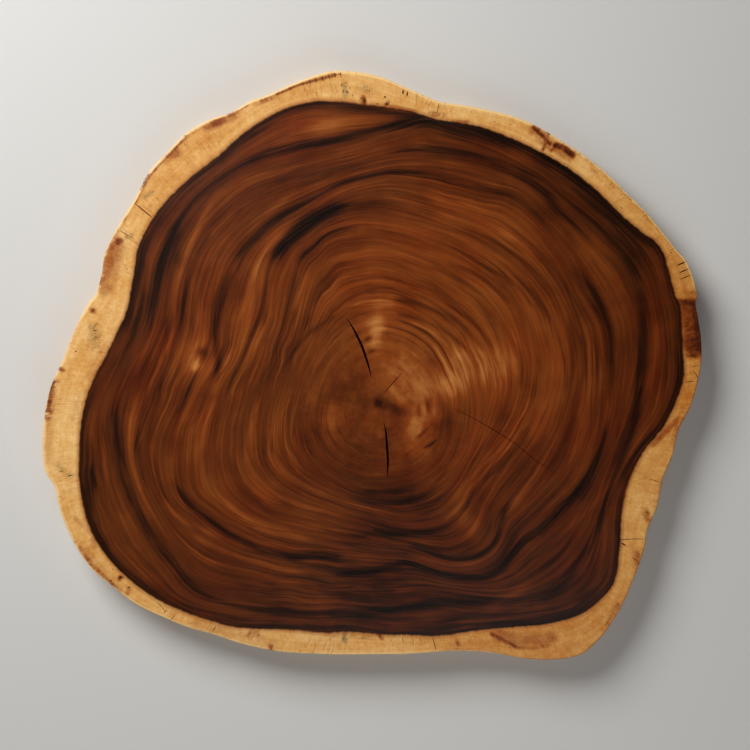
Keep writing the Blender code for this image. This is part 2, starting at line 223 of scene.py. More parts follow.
# Painted streaks of the heart figure: strength (below 0 is darker), half width in mm towards the pith and
# towards the bark, and the bearings and radii in mm that the streak runs through
STREAKS_MM = [
    (-0.26, 20, 11, [(58, 676), (66, 666), (74, 655), (80, 655), (85, 642), (90, 629)]),
    (-0.17, 9, 8, [(80, 655), (85, 642), (93, 621), (100, 612), (108, 608)]),
    (-0.10, 5, 5, [(82, 630), (90, 609), (97, 598), (106, 594), (114, 600)]),
    (-0.15, 56, 36, [(24, 700), (32, 694), (40, 684), (50, 676), (62, 664)]),
    (-0.16, 14, 15, [(0, 593), (8, 616), (14, 634), (22, 655), (28, 667), (34, 668)]),
    (0.12, 9, 9, [(0, 616), (6, 634), (12, 656), (18, 666)]),
    (0.13, 24, 24, [(12, 590), (18, 606), (26, 612), (34, 608), (42, 600)]),
    (-0.20, 13, 14, [(0, 534), (10, 547), (15, 557), (20, 559), (30, 554), (36, 548)]),
    (-0.13, 12, 12, [(36, 624), (41, 621), (46, 605), (52, 602)]),
    (-0.24, 9, 10, [(46, 619), (50, 621), (57, 623), (62, 616), (70, 607), (78, 598), (85, 587),
        (90, 578)]),
    (-0.11, 12, 12, [(43, 577), (52, 577), (62, 572)]),
    (-0.27, 7, 9, [(54, 571), (57, 568), (60, 559), (66, 547), (75, 538), (87, 529), (92, 520), (100, 508),
        (105, 495), (110, 488), (117, 481), (125, 474), (130, 469), (138, 453)]),
    (-0.24, 8, 9, [(134, 462), (138, 453), (144, 437), (150, 421), (157, 403), (162, 386), (167, 375),
        (175, 375)]),
    (0.14, 8, 8, [(47, 492), (50, 488), (56, 474), (62, 465), (70, 458), (76, 456)]),
    (0.10, 12, 12, [(57, 484), (66, 485), (78, 480)]),
    (-0.16, 7, 8, [(5, 448), (8, 455), (14, 465), (20, 474), (26, 478)]),
    (-0.12, 5, 5, [(0, 437), (10, 441), (20, 444), (30, 442), (40, 432), (46, 424)]),
    (-0.14, 16, 11, [(86, 467), (91, 466), (97, 463), (105, 455), (112, 444), (118, 430), (124, 416),
        (128, 403)]),
    (-0.38, 19, 12, [(97, 463), (101, 459), (105, 455), (112, 444), (118, 430), (124, 416), (128, 403)]),
    (-0.14, 12, 12, [(80, 462), (86, 461), (92, 460), (98, 458), (104, 454)]),
    (0.14, 13, 14, [(114, 460), (118, 451), (125, 437), (130, 421), (135, 403), (140, 380), (147, 359),
        (156, 350), (163, 352), (170, 368), (180, 386)]),
    (-0.20, 5, 5, [(122, 422), (124, 416), (130, 391), (134, 368), (140, 345), (147, 331), (155, 327),
        (160, 327), (166, 331), (172, 340), (180, 350)]),
    (0.16, 7, 7, [(142, 328), (145, 322), (152, 313), (160, 313), (168, 322), (175, 336), (182, 346)]),
    (-0.30, 8, 8, [(94, 409), (98, 407), (103, 405), (108, 398), (113, 386), (118, 375), (122, 352)]),
    (-0.20, 5, 5, [(118, 368), (122, 350), (126, 329), (132, 304), (140, 281), (148, 269), (156, 262),
        (165, 260), (172, 265), (182, 276)]),
    (0.12, 5, 5, [(114, 352), (116, 345), (122, 320), (128, 299), (134, 284)]),
    (0.08, 7, 7, [(126, 409), (128, 403), (134, 382), (140, 362)]),
    (-0.10, 6, 6, [(106, 316), (108, 311), (113, 294), (118, 281), (124, 266)]),
    (0.13, 17, 17, [(84, 654), (90, 652), (98, 648), (107, 648)]),
    (-0.23, 10, 10, [(76, 664), (84, 646), (88, 635), (92, 622), (97, 612), (105, 616), (113, 623),
        (120, 628), (127, 626), (135, 621), (141, 612), (147, 596), (152, 577), (157, 559), (161, 550),
        (166, 548)]),
    (-0.18, 16, 16, [(134, 618), (138, 610), (144, 592), (150, 575), (155, 560)]),
    (0.14, 7, 7, [(125, 609), (128, 603), (134, 584), (140, 559), (146, 543), (152, 527), (157, 508),
        (162, 502)]),
    (-0.22, 8, 8, [(133, 552), (137, 545), (142, 534), (147, 520), (151, 506), (155, 495), (160, 485),
        (166, 485), (171, 492), (176, 504), (182, 520)]),
    (0.14, 6, 6, [(154, 502), (157, 499), (165, 501), (170, 511), (175, 524), (182, 541)]),
    (-0.16, 6, 6, [(163, 528), (166, 534), (172, 547), (176, 564), (180, 575), (185, 586)]),
    (-0.13, 14, 14, [(150, 598), (156, 588), (163, 584), (172, 594), (180, 612)]),
    (0.13, 7, 7, [(109, 518), (112, 515), (118, 506), (124, 499), (130, 492)]),
    (0.06, 8, 8, [(120, 520), (128, 516), (140, 508), (146, 498)]),
    (-0.12, 7, 7, [(94, 568), (98, 568), (107, 566), (113, 559), (119, 556)]),
    (0.10, 9, 9, [(110, 584), (115, 587), (122, 593), (128, 596), (134, 586)]),
    (-0.10, 9, 9, [(90, 548), (95, 543), (100, 541), (106, 534)]),
    (0.08, 8, 8, [(56, 506), (66, 504), (82, 498)]),
    (-0.20, 5, 5, [(21, 291), (25, 292), (35, 290), (45, 285), (52, 278), (57, 270)]),
    (-0.18, 5, 5, [(24, 275), (28, 271), (40, 267), (50, 260), (60, 251), (72, 244), (80, 239), (85, 234)]),
    (-0.16, 4, 4, [(22, 252), (35, 236), (52, 222), (66, 214), (80, 206)]),
    (0.10, 4, 4, [(24, 218), (38, 212), (54, 206), (70, 200)]),
    (-0.14, 5, 5, [(33, 386), (36, 384), (42, 380), (50, 375), (58, 366), (64, 358)]),
    (-0.07, 6, 6, [(16, 337), (24, 339), (34, 336)]),
    (-0.14, 5, 5, [(114, 226), (120, 221), (134, 224), (150, 225), (160, 228)]),
    (0.12, 22, 22, [(354, 318), (3, 322), (12, 322), (20, 316)]),
    (-0.13, 7, 7, [(4, 330), (8, 334), (14, 344), (20, 350), (25, 350)]),
    (-0.13, 13, 14, [(176, 592), (180, 603), (185, 603), (195, 607), (205, 605), (215, 607), (222, 605),
        (228, 593), (233, 574)]),
    (-0.09, 13, 13, [(213, 608), (220, 607), (226, 596)]),
    (0.16, 10, 10, [(176, 541), (180, 552), (185, 566), (190, 575), (197, 580), (205, 585), (212, 584)]),
    (-0.14, 7, 7, [(185, 554), (190, 562), (195, 565), (202, 565)]),
    (0.12, 8, 8, [(176, 374), (180, 380), (186, 393), (192, 409), (197, 418)]),
    (0.14, 9, 9, [(208, 420), (213, 414), (220, 403), (228, 382), (235, 361), (243, 352), (250, 345),
        (258, 343), (265, 344)]),
    (-0.30, 8, 8, [(199, 502), (203, 501), (208, 492), (214, 474), (220, 460), (227, 442), (232, 430),
        (238, 412), (243, 396), (248, 380), (253, 370), (260, 363)]),
    (-0.26, 8, 8, [(236, 418), (240, 414), (246, 405), (252, 396), (258, 396), (264, 391), (270, 384),
        (276, 375), (283, 370)]),
    (-0.12, 12, 12, [(250, 442), (256, 442), (264, 444)]),
    (0.12, 5, 5, [(250, 428), (257, 425), (264, 425), (271, 426)]),
    (0.16, 7, 7, [(203, 544), (207, 534), (213, 511), (218, 488), (223, 470)]),
    (0.13, 6, 6, [(211, 536), (215, 524), (222, 497), (229, 472), (236, 449), (243, 432), (250, 428)]),
    (-0.16, 6, 6, [(220, 612), (225, 603), (235, 568), (243, 534), (250, 511), (257, 495), (265, 485),
        (272, 481), (279, 480)]),
    (-0.14, 6, 6, [(236, 566), (240, 552), (250, 520), (258, 501), (265, 495), (272, 494)]),
    (-0.20, 10, 10, [(265, 476), (270, 474), (278, 474), (285, 481), (292, 497), (298, 518), (303, 547),
        (308, 572)]),
    (-0.14, 6, 6, [(284, 518), (288, 524), (295, 536), (300, 559), (305, 575), (311, 597)]),
    (0.19, 11, 11, [(296, 520), (300, 534), (306, 540), (312, 548)]),
    (-0.36, 8, 8, [(276, 366), (280, 373), (286, 396), (291, 421), (296, 446), (301, 467), (306, 476),
        (310, 472), (316, 467), (322, 478), (328, 488), (333, 497), (338, 506), (345, 520), (352, 529),
        (358, 533)]),
    (0.15, 7, 7, [(280, 352), (284, 363), (290, 384), (296, 409), (301, 430), (306, 440)]),
    (-0.24, 7, 7, [(281, 330), (285, 340), (290, 363), (294, 391), (298, 407), (303, 419), (308, 423),
        (313, 414), (317, 398), (320, 386), (325, 382)]),
    (-0.28, 7, 7, [(265, 292), (270, 294), (275, 301), (281, 308), (287, 315), (292, 322), (297, 328)]),
    (-0.13, 5, 5, [(244, 320), (248, 317), (256, 313), (264, 308), (270, 299)]),
    (0.10, 15, 13, [(304, 286), (309, 285), (318, 284), (328, 289), (338, 305), (345, 322), (352, 338),
        (360, 355), (366, 362)]),
    (0.09, 3, 3, [(312, 292), (320, 290), (328, 296), (338, 312), (345, 329), (352, 345), (358, 358)]),
    (0.10, 3, 3, [(318, 276), (328, 281), (338, 297), (345, 313), (354, 336), (362, 352)]),
    (0.08, 3, 3, [(330, 275), (338, 287), (346, 304), (355, 327), (363, 340)]),
    (-0.08, 3, 3, [(322, 300), (330, 304), (339, 320), (347, 338), (355, 352)]),
    (-0.16, 5, 5, [(325, 308), (330, 317), (338, 329), (345, 345), (355, 361)]),
    (0.10, 9, 9, [(345, 352), (350, 363), (358, 380), (364, 390)]),
    (-0.22, 10, 10, [(308, 584), (312, 593), (320, 593), (328, 584), (336, 575), (344, 575), (352, 587),
        (360, 603)]),
    (-0.16, 9, 10, [(-6, 590), (0, 600), (5, 614)]),
    (0.10, 7, 7, [(321, 516), (325, 524), (333, 543), (340, 566), (345, 580)]),
    (-0.12, 8, 8, [(331, 514), (335, 518), (345, 534), (352, 544)]),
    (-0.12, 8, 8, [(340, 545), (350, 565), (358, 590), (366, 618)]),
    (-0.10, 7, 7, [(344, 500), (352, 512), (360, 524), (368, 538)]),
    (-0.40, 2.6, 2.6, [(314, 148), (318, 152), (323, 157), (330, 162)]),
    (-0.26, 2.6, 2.6, [(316, 122), (322, 124), (330, 128), (338, 133)]),
    (0.14, 4, 4, [(318, 142), (324, 146), (331, 150)]),
    (-0.12, 3, 3, [(278, 61), (290, 64), (303, 70)]),
]

# Crisp ring lines of the heart: strength, middle bearing, half range in degrees, growth and half width
CRISP_RINGS = [
    (-0.26, 50, 44, 0.1740, 0.0042), (-0.26, 46, 36, 0.1905, 0.0040), (0.12, 48, 42, 0.1822, 0.0036),
    (-0.10, 30, 30, 0.2060, 0.0040), (-0.10, 58, 30, 0.1610, 0.0030), (-0.09, 200, 60, 0.1240, 0.0036),
    (-0.09, 215, 50, 0.1480, 0.0040), (-0.09, 190, 70, 0.1840, 0.0040), (-0.08, 240, 46, 0.1000, 0.0036),
    (-0.10, 24, 26, 0.2330, 0.0040),
]

# Soft patches of the heart figure: strength, bearing, radius, half length along the rings and half width
# across them in mm
PATCHES_MM = [
    (-0.11, 280, 380, 380, 230), (-0.07, 222, 205, 110, 60), (0.09, 90, 600, 200, 60),
    (0.08, 52, 180, 150, 100), (0.18, 48, 84, 66, 62), (0.21, 15, 282, 62, 46), (0.12, 14, 225, 26, 36),
    (0.26, 13, 170, 32, 26), (0.06, 28, 240, 34, 30), (0.10, 89, 215, 16, 26), (0.22, 90, 174, 20, 22),
    (0.20, 93, 138, 12, 24), (0.10, 89, 150, 28, 56), (0.10, 35, 45, 14, 10), (0.24, 331, 106, 26, 26),
    (0.20, 312, 142, 24, 28), (0.18, 350, 122, 20, 26), (0.10, 196, 117, 26, 9), (-0.40, 0, 3, 20, 16),
    (-0.10, 170, 22, 14, 14), (-0.28, 343, 42, 13, 24), (-0.34, 97.9, 150, 9, 4.5),
    (-0.36, 95.9, 121, 11, 5), (-0.26, 82.5, 161, 11, 4.5), (-0.34, 356, 118, 18, 6),
    (-0.26, 349, 98, 14, 5), (-0.13, 2, 147, 20, 7), (-0.16, 38, 158, 22, 10), (-0.05, 342, 205, 60, 40),
    (-0.08, 150, 62, 50, 45), (-0.04, 200, 110, 110, 70), (-0.25, 276, 226, 100, 46),
    (-0.17, 276, 300, 120, 44), (-0.10, 150, 230, 110, 28), (-0.12, 294, 270, 40, 60),
    (0.12, 307, 385, 36, 30), (0.19, 307, 336, 28, 26), (0.10, 208, 425, 40, 18), (0.06, 135, 355, 36, 14),
    (-0.14, 144, 562, 16, 10), (0.20, 166, 442, 60, 36), (-0.26, 163.8, 421, 10, 8),
    (0.50, 168.4, 421, 14, 9), (0.08, 14, 112, 60, 50), (-0.13, 346, 168, 30, 24),
    (-0.06, 315, 430, 110, 100), (-0.10, 314, 610, 130, 70), (0.10, 104, 668, 80, 34),
    (0.06, 172, 625, 150, 36), (-0.06, 32, 520, 120, 50), (-0.05, 255, 150, 70, 60),
    (0.06, 345, 245, 60, 60), (-0.12, 76, 590, 110, 30), (0.08, 12, 130, 60, 40),
    (-0.09, 266, 395, 100, 60), (-0.06, 262, 150, 60, 50), (0.07, 100, 490, 90, 30),
    (0.06, 165, 470, 60, 40), (0.06, 172, 640, 120, 36), (0.05, 78, 400, 90, 50), (0.14, 26, 205, 42, 36),
    (0.10, 101, 146, 9, 20), (0.14, 82, 236, 20, 16), (0.08, 192, 88, 30, 18), (0.06, 210, 124, 40, 20),
    (0.12, 154, 455, 24, 10), (0.05, 161, 432, 22, 9), (0.08, 96, 464, 40, 18), (-0.22, 111, 445, 50, 15),
    (-0.14, 18, 622, 150, 16), (-0.10, 286, 198, 40, 26), (-0.14, 309, 452, 60, 14),
    (0.05, 15, 380, 110, 90), (0.12, 7, 53, 16, 12), (0.12, 316, 106, 18, 16), (-0.08, 256, 218, 40, 30),
    (-0.12, 303, 392, 60, 16), (0.08, 236, 396, 60, 16), (0.10, 147, 376, 50, 14), (0.07, 15, 420, 170, 50),
    (0.06, 96, 240, 40, 16), (0.06, 186, 440, 60, 26),
]

# Where the heart's streaks are faint: strength and the same sizes
CALM_MM = [
    (0.45, 322, 590, 180, 90), (0.40, 50, 650, 260, 45), (0.35, 45, 90, 90, 90), (0.30, 140, 90, 110, 90),
    (0.25, 290, 480, 120, 60), (0.50, 18, 600, 260, 90),
]

# Stains of the sapwood: strength, half width in mm, and the bearings and radii in mm along their middle
BROWN_STAINS_MM = [
    (1.25, 9, [(18.3, 733), (17.7, 756), (17.3, 778)]), (1.2, 13, [(16.2, 764), (12.7, 759), (9.6, 753)]),
    (0.95, 22, [(17, 748), (13.5, 745), (10, 742)]), (1.1, 17, [(11.0, 730), (10.2, 750)]),
    (0.85, 8, [(8.9, 726), (8.5, 748)]), (0.5, 8, [(19.6, 752), (19.0, 768)]),
    (1.0, 3, [(60.4, 729), (58.4, 723), (56.4, 717)]), (1.15, 6, [(55.2, 722), (53.5, 727), (51.8, 726)]),
    (0.85, 3, [(57.5, 738), (57.1, 718), (56.8, 697)]), (0.8, 3, [(55, 716), (55.2, 704)]),
    (0.4, 4, [(47.2, 731), (46.4, 732)]), (0.4, 4, [(42.6, 736), (43.2, 742)]),
    (0.8, 1.8, [(108, 746), (104, 753), (101, 756), (96.5, 762)]), (0.4, 4, [(102.5, 754), (98, 760)]),
    (0.5, 4, [(110.9, 743), (109.3, 742)]), (0.65, 4, [(117.2, 744), (115.7, 743)]),
    (0.65, 5, [(121.6, 746), (119.8, 741), (118.4, 738)]),
    (0.75, 2, [(125.5, 754), (129, 746), (132.5, 741)]), (0.5, 6, [(129.8, 740), (128.8, 736)]),
    (0.7, 3, [(135, 743), (138, 736)]), (1.05, 6, [(148.2, 702), (147.8, 699)]),
    (0.6, 4, [(149.8, 707), (149.2, 703)]), (0.35, 9, [(151.5, 696), (154, 692)]),
    (0.5, 5, [(79.6, 677), (76.9, 680)]), (0.9, 4.5, [(92.5, 690), (92.6, 703)]),
    (0.7, 4, [(88.2, 686), (87.9, 692)]), (0.6, 4, [(75, 668), (72, 678)]),
    (0.9, 3, [(176.3, 745), (178.5, 751), (181.2, 757)]), (0.9, 3, [(181.3, 764), (181.6, 748)]),
    (0.6, 4, [(182.4, 766), (182.9, 752)]), (0.7, 4, [(173.7, 736), (174.1, 727)]),
    (0.6, 4, [(175.8, 745), (176.2, 735)]), (0.45, 6, [(241, 608), (242.6, 598)]),
    (0.6, 5, [(246.5, 611), (247, 624)]), (0.8, 5, [(214.2, 712), (214.3, 717)]),
    (0.5, 3, [(206, 760), (210, 752), (215, 735)]), (0.5, 4, [(216.7, 712), (217.4, 722)]),
    (0.85, 3, [(296.4, 592), (298.2, 621), (299.9, 649)]), (0.5, 4, [(298, 592), (300.5, 618)]),
    (0.6, 3, [(299.9, 650), (302.5, 669), (305.4, 684)]), (0.6, 4, [(288.6, 578), (288.6, 586)]),
    (0.5, 5, [(330.0, 690), (328.4, 703)]), (0.55, 6, [(337.8, 668), (337.0, 679)]),
    (0.35, 7, [(341.6, 680), (340.2, 676)]), (0.45, 3, [(357, 693), (354.6, 670), (351.6, 645)]),
    (0.4, 8, [(356.6, 700), (354, 690)]), (0.5, 4, [(320, 722), (316, 735)]),
]
RED_STAINS_MM = [
    (1.35, 22, [(16.6, 750), (13, 744), (10.4, 742)]),
    (1.0, 15, [(148.4, 701), (151.4, 696), (154.6, 690)]), (0.85, 12, [(157.6, 680), (156.9, 674)]),
    (1.4, 5, [(156.4, 697), (155.6, 691)]), (0.75, 20, [(149, 696), (156, 682)]),
    (1.3, 5, [(162, 689), (162, 685)]), (0.5, 6, [(168, 641), (171.5, 652), (175, 667)]),
    (0.45, 6, [(177, 672), (180, 688), (183, 700)]), (0.6, 5, [(201, 742), (203.5, 726)]),
    (0.6, 5, [(205.5, 724), (207, 730)]), (0.8, 4, [(88.4, 684), (85, 679), (82.4, 676)]),
    (1.1, 3.5, [(270.2, 530), (271.2, 541)]), (0.6, 4, [(112, 741), (108.5, 742)]),
    (0.85, 13, [(297.4, 600), (299.8, 628), (303, 652), (306.5, 672)]),
    (0.95, 6, [(356.8, 690), (354.4, 668), (351.4, 643)]), (0.85, 13, [(60, 724), (56, 714), (52, 722)]),
    (0.65, 9, [(338, 664), (337, 678)]), (0.65, 8, [(330, 688), (328, 704)]),
    (0.55, 8, [(345, 678), (341, 684)]), (0.75, 9, [(122, 744), (119, 738), (116.4, 738)]),
    (0.65, 10, [(131, 742), (128.4, 736)]), (0.6, 5, [(178, 742), (182, 748)]),
    (0.45, 14, [(230, 660), (246, 604)]), (0.5, 8, [(190, 770), (178, 752)]),
    (0.4, 3, [(24.6, 756), (24.6, 784)]), (0.4, 3, [(23.3, 753), (23.3, 782)]),
    (0.35, 3, [(22.2, 748), (22.2, 783)]), (0.4, 12, [(20, 762), (26, 764)]),
    (0.4, 10, [(318, 730), (330, 700)]), (0.5, 7, [(206, 756), (216, 730)]),
]
GREY_STAINS_MM = [
    (0.7, 6, [(95.8, 712), (95.9, 738)]), (0.45, 9, [(93, 726), (91, 716)]),
    (0.6, 6, [(137, 708), (138.4, 716)]), (0.62, 13, [(165.2, 674), (168.2, 664)]),
    (0.6, 5, [(146.6, 690), (145.8, 684)]), (0.6, 6, [(190.9, 748), (192.2, 738)]),
    (0.5, 5, [(193.3, 718), (193.3, 732)]), (0.8, 7, [(262, 539), (262.2, 550)]),
    (0.4, 5, [(257.8, 545), (268.5, 540)]),
]
# Thin lines left right at the rim: strength, first and last bearing, depth from the outline in mm
RIM_MARKS_MM = [
    (0.35, 25, 62, 6), (0.7, 112, 142, 8), (0.45, 142, 160, 7), (0.6, 205, 217, 6), (0.4, 284, 300, 6),
]
# A painted highlight where the rim is palest, standing in for light on its round-over and strongest along
# the upper edge: gain in tone, first and last bearing, depth from the outline in mm
RIM_HIGHLIGHTS_MM = [(1.3, 18, 166, 5), (0.5, 166, 300, 5)]

# How fine the slab's mesh is: columns round it out to each radius in mm, and the step between its rows
COLUMNS_WITHIN_MM = [(24, 30), (60, 60), (150, 120), (450, 240), (630, 480)]
EDGE_COLUMNS = 960
GROWTH_STEP = 0.0037
SAPWOOD_ROWS = 15
UNDERSIDE_COLUMNS_WITHIN_MM = [(60, 30), (150, 60), (330, 120), (560, 240)]
UNDERSIDE_GROWTH_STEP = 0.018
UNDERSIDE_SAPWOOD_ROWS = 5
ROUND_OVER_ROWS = 4
SIDE_ROWS = 7
RADIUS_SAMPLES = 300

# The trunk's taper and the lean of its flutes, as the solid model has them
TAPER_LOBES = 3
TAPER_TURN_DEG = 40
FLUTE_LEAN_DEG = 0.9
RIPPLES_ROUND = 41
RIPPLE_GROUPS = 7
RIPPLE_TURN_DEG = 65

# The slab's sides, which are also its material slots
SLAB_NAME = "polished_slice"
TOP, EDGE, UNDERSIDE, CRACK, CHECK = range(5)
MATERIAL_NAMES = ("oiled_show_face", "bare_live_edge", "sawn_underside", "crack_wall", "check_wall")
EDGE_SHARE_GAIN = 3.0
SHARP_ANGLE_DEG = 35

# Cutters
CRACK_FLOOR_SHARE = 0.35
CUTTER_OVERRUN = 0.010
CUTTER_OVERRUN_SHARE = 0.2
CUTTER_SIDES = 12
PATH_STEPS = 4
HOLE_ROUNDNESS = 0.8

# Painting: the heart's tone, how much it darkens, and from what growth coordinate and over how much of it
BASE_TONE = 0.575
OUTER_DARKENING = -0.13
DARKENING_START = 0.25
DARKENING_SPAN = 0.4
# A streak's ends fade over this many degrees, or this share of its length if that is less
FADE_DEG = 7
FADE_SHARE = 0.3
# How stains, rim lines and the painted rim highlight fade, in metres and degrees, and how much stains and
# rim lines thin down the edge
MARK_SOFTNESS = 0.0018
RIM_LINE_WIDTH = 0.0026
RIM_LINE_FADE_DEG = 2
RIM_HIGHLIGHT_FADE_DEG = 6
MARK_THINNING = 0.6
# The width in metres over which the heart's tone gives way to the sapwood's
HEART_BLEND = 0.004
SLOPE_STEP_DEG = 0.5

# The wood's shaders: how many streak lengths a ring close to the pith takes for each radian
STREAK_TURNS = 0.9
MIDDLE_TONE = 0.55
HEART_REDNESS = 0.2
# The heart's border in metres: its raggedness, where it and the red fringe outside it start and end, and
# how much darker the heart is along it
BORDER_RAGGEDNESS = 0.0065
BORDER = (-0.0030, 0.0026)
FRINGE = (-0.0105, -0.0015)
BORDER_DARKENING = -0.26
FLOAT, VECTOR, COLOUR = "NodeSocketFloat", "NodeSocketVector", "NodeSocketColor"
HEART_COLOURS = {
    "Black": "heart_black", "Dark": "heart_dark", "Middle": "heart_mid", "Light": "heart_light",
    "Gold": "heart_gold", "Red": "heart_red",
}
SAPWOOD_COLOURS = {
    "Pale": "sapwood_pale", "Deep": "sapwood_deep", "Brown stain": "stain_brown",
    "Red stain": "stain_red", "Grey stain": "stain_grey",
}

# The slice laid out flat for a square picture: where each side starts, in pixels, and its mm to a pixel
MAP_NAME = "OFBake"
MAP_PIXELS = 1024
FACE_MAP = (5, 5, 1.9)
UNDERSIDE_MAP = (5, 728, 4.62)
EDGE_MAP = (814, 5, 1.6)
EDGE_STRIPS = 3
EDGE_STRIP_PIXELS = 66
WALL_MAP = (340, 728, 466, 290)
WALL_MARGIN = 0.003
UNROLLED_SHARE = math.pi / 2 - 1

# Stage
FLOOR_WIDTH = 14
KEY_PLACE = (-2.1, 2.5, 2.9)
KEY_SIZE = 2.6
FILL_PLACE = (0.6, -3.0, 3.2)
FILL_SIZE = 4.0
ROOM_LIGHT = 0.8
CEILING_LIGHT = 0.02


def srgb(red, green, blue):
    """A colour named in 8-bit display values, as linear light."""
    values = (red / 255, green / 255, blue / 255)
    return tuple(v / 12.92 if v <= 0.04045 else ((v + 0.055) / 1.055) ** 2.4 for v in values)


def length(name, description, default):
    return bpy.props.FloatProperty(
        name=name, description=description, default=default, unit="LENGTH", precision=4
    )


def power(name, description, default):
    return bpy.props.FloatProperty(name=name, description=description, default=default, unit="POWER")


def colour(name, description, *display):
    return bpy.props.FloatVectorProperty(
        name=name, description=description, default=srgb(*display), subtype="COLOR", size=3, min=0, max=1
    )


class SliceSizes(bpy.types.PropertyGroup):
    """Sizes of the slab, its edge and its cracks."""

    face_round_over: length("Face round-over", "Radius of the eased arris round the show face", 0.005)
    underside_round_over: length("Underside round-over", "Radius of the eased arris underneath", 0.004)
    mean_taper: length("Taper", "How far the underside lies inside the show face", 0.014)
    taper_swing: length("Taper swing", "How much that varies round the trunk", 0.007)
    ripple_depth: length("Ripples", "Depth of the broad ripples down the live edge", 0.0022)
    groove_depth: length("Grooves", "Depth of the fine grain grooves down the live edge", 0.0011)
    groove_width: length("Groove width", "Width of a grain groove round the live edge", 0.009)
    crack_depth: length("Crack depth", "Depth of the two open cracks beside the pith", 0.050)
    ray_check_depth: length("Ray check depth", "Depth of the fine checks in the heart", 0.008)
    hairline_depth: length("Hairline depth", "Depth of the hairline checks in the sapwood", 0.005)
    hole_depth: length("Hole depth", "Depth of an insect hole", 0.006)


class SliceColours(bpy.types.PropertyGroup):
    """Colours of the oiled wood."""

    heart_black: colour("Heart, darkest", "Darkest streaks of the heart", 20, 9, 3)
    heart_dark: colour("Heart, dark", "Dark rings of the heart", 53, 24, 8)
    heart_mid: colour("Heart, middle", "The heart's main colour", 103, 48, 15)
    heart_light: colour("Heart, light", "Light rings of the heart", 146, 76, 27)
    heart_gold: colour("Heart, gold", "Palest patches of the heart", 200, 134, 68)
    heart_red: colour("Heart, red", "Tint of the redder streaks", 140, 48, 20)
    sapwood_pale: colour("Sapwood, pale", "Palest sapwood", 250, 206, 137)
    sapwood_mid: colour("Sapwood, middle", "The sapwood's main colour", 224, 163, 87)
    sapwood_deep: colour("Sapwood, deep", "Golden sapwood", 192, 114, 37)
    stain_brown: colour("Brown stain", "Brown stains and bark left on the rim", 72, 27, 8)
    stain_red: colour("Red stain", "Red-brown stains of the sapwood", 154, 72, 20)
    stain_grey: colour("Grey fleck", "Grey-green flecks of the sapwood", 96, 78, 46)
    edge_wood: colour("Live edge", "Bare wood of the live edge", 204, 146, 82)
    edge_bark: colour("Inner bark", "Inner bark left on the live edge", 112, 62, 32)
    crack_wall: colour("Crack wall", "Raw wood inside the cracks", 44, 20, 8)
    check_wall: colour("Check wall", "Raw wood inside the checks of the sapwood", 150, 92, 46)


class StageSettings(bpy.types.PropertyGroup):
    """The camera, the lights and the floor."""

    camera_height: length("Camera height", "Distance of the camera above the show face", 3.6)
    picture_width: length("Picture width", "Width of the picture at the show face", 1.725)
    picture_x: length("Picture centre X", "Middle of the picture from the pith, to the right", -0.0046)
    picture_y: length("Picture centre Y", "Middle of the picture from the pith, upwards", 0.0644)
    key_power: power("Key light", "Main light", 190)
    fill_power: power("Fill light", "Low fill light", 60)
    floor: colour("Floor", "Plain pale floor", 214, 212, 208)


def cubic(start, end, leaving, arriving, t):
    """The smooth curve from start to end with the given slopes there, as t goes from 0 to 1."""
    return (
        start * (2 * t**3 - 3 * t**2 + 1) + leaving * (t**3 - 2 * t**2 + t)
        + end * (3 * t**2 - 2 * t**3) + arriving * (t**3 - t**2)
    )


def level_points(radius, turn):
    """Points at a radius and a turn in radians round the pith."""
    return np.column_stack([radius * np.cos(turn), radius * np.sin(turn)])


def closed_curve(points, bearing):
    """A smooth closed curve through (bearing, radius in mm) points, read at any bearing, in metres."""
    bearings = np.array([b for b, _ in points], float)
    radii = np.array([r for _, r in points], float) * MM
    before, after = np.roll(bearings, 1), np.roll(bearings, -1)
    before[0] -= 360
    after[-1] += 360
    slopes = (np.roll(radii, -1) - np.roll(radii, 1)) / (after - before)
    turned = np.asarray(bearing, float) % 360
    start = np.searchsorted(bearings, turned, side="right") - 1
    end = (start + 1) % len(bearings)
    span = after[start] - bearings[start]
    t = (turned - bearings[start]) / span
    return cubic(radii[start], radii[end], slopes[start] * span, slopes[end] * span, t)


def growth_at(bearing, radius):
    """Growth coordinate of points on the show face, rising through the traced rings at each bearing."""
    knots = np.stack([np.zeros_like(bearing)] + [closed_curve(ring, bearing) for _, ring in GROWTH_RINGS])
    levels = np.array([0.0] + [level for level, _ in GROWTH_RINGS])
    steps = np.diff(knots, axis=0)
    slopes = np.diff(levels)[:, None] / steps
    inner = 2 * slopes[:-1] * slopes[1:] / (slopes[:-1] + slopes[1:])
    tangents = np.concatenate([slopes[:1], inner, slopes[-1:]])
    band = np.clip((radius >= knots).sum(axis=0) - 1, 0, len(steps) - 1)
    column = np.arange(len(radius))
    span = steps[band, column]
    t = (radius - knots[band, column]) / span
    leaving, arriving = tangents[band, column] * span, tangents[band + 1, column] * span
    return cubic(levels[band], levels[band + 1], leaving, arriving, t)


def edge_radius(bearing, height, sizes):
    """Radius of the live edge at a height above the underside, before its fine grooves."""
    down = 1 - height / THICKNESS
    swing = np.sin(np.radians(TAPER_LOBES * bearing + TAPER_TURN_DEG))
    taper = sizes.mean_taper + sizes.taper_swing * swing
    grouping = np.sin(np.radians(RIPPLE_GROUPS * bearing + RIPPLE_TURN_DEG))
    ripple = np.sin(np.radians(RIPPLES_ROUND * bearing)) * grouping
    fade = np.sin(np.pi * down)
    leaned = closed_curve(OUTLINE_MM, bearing + FLUTE_LEAN_DEG * down)
    return leaned - taper * down - sizes.ripple_depth * fade * (1 + ripple)


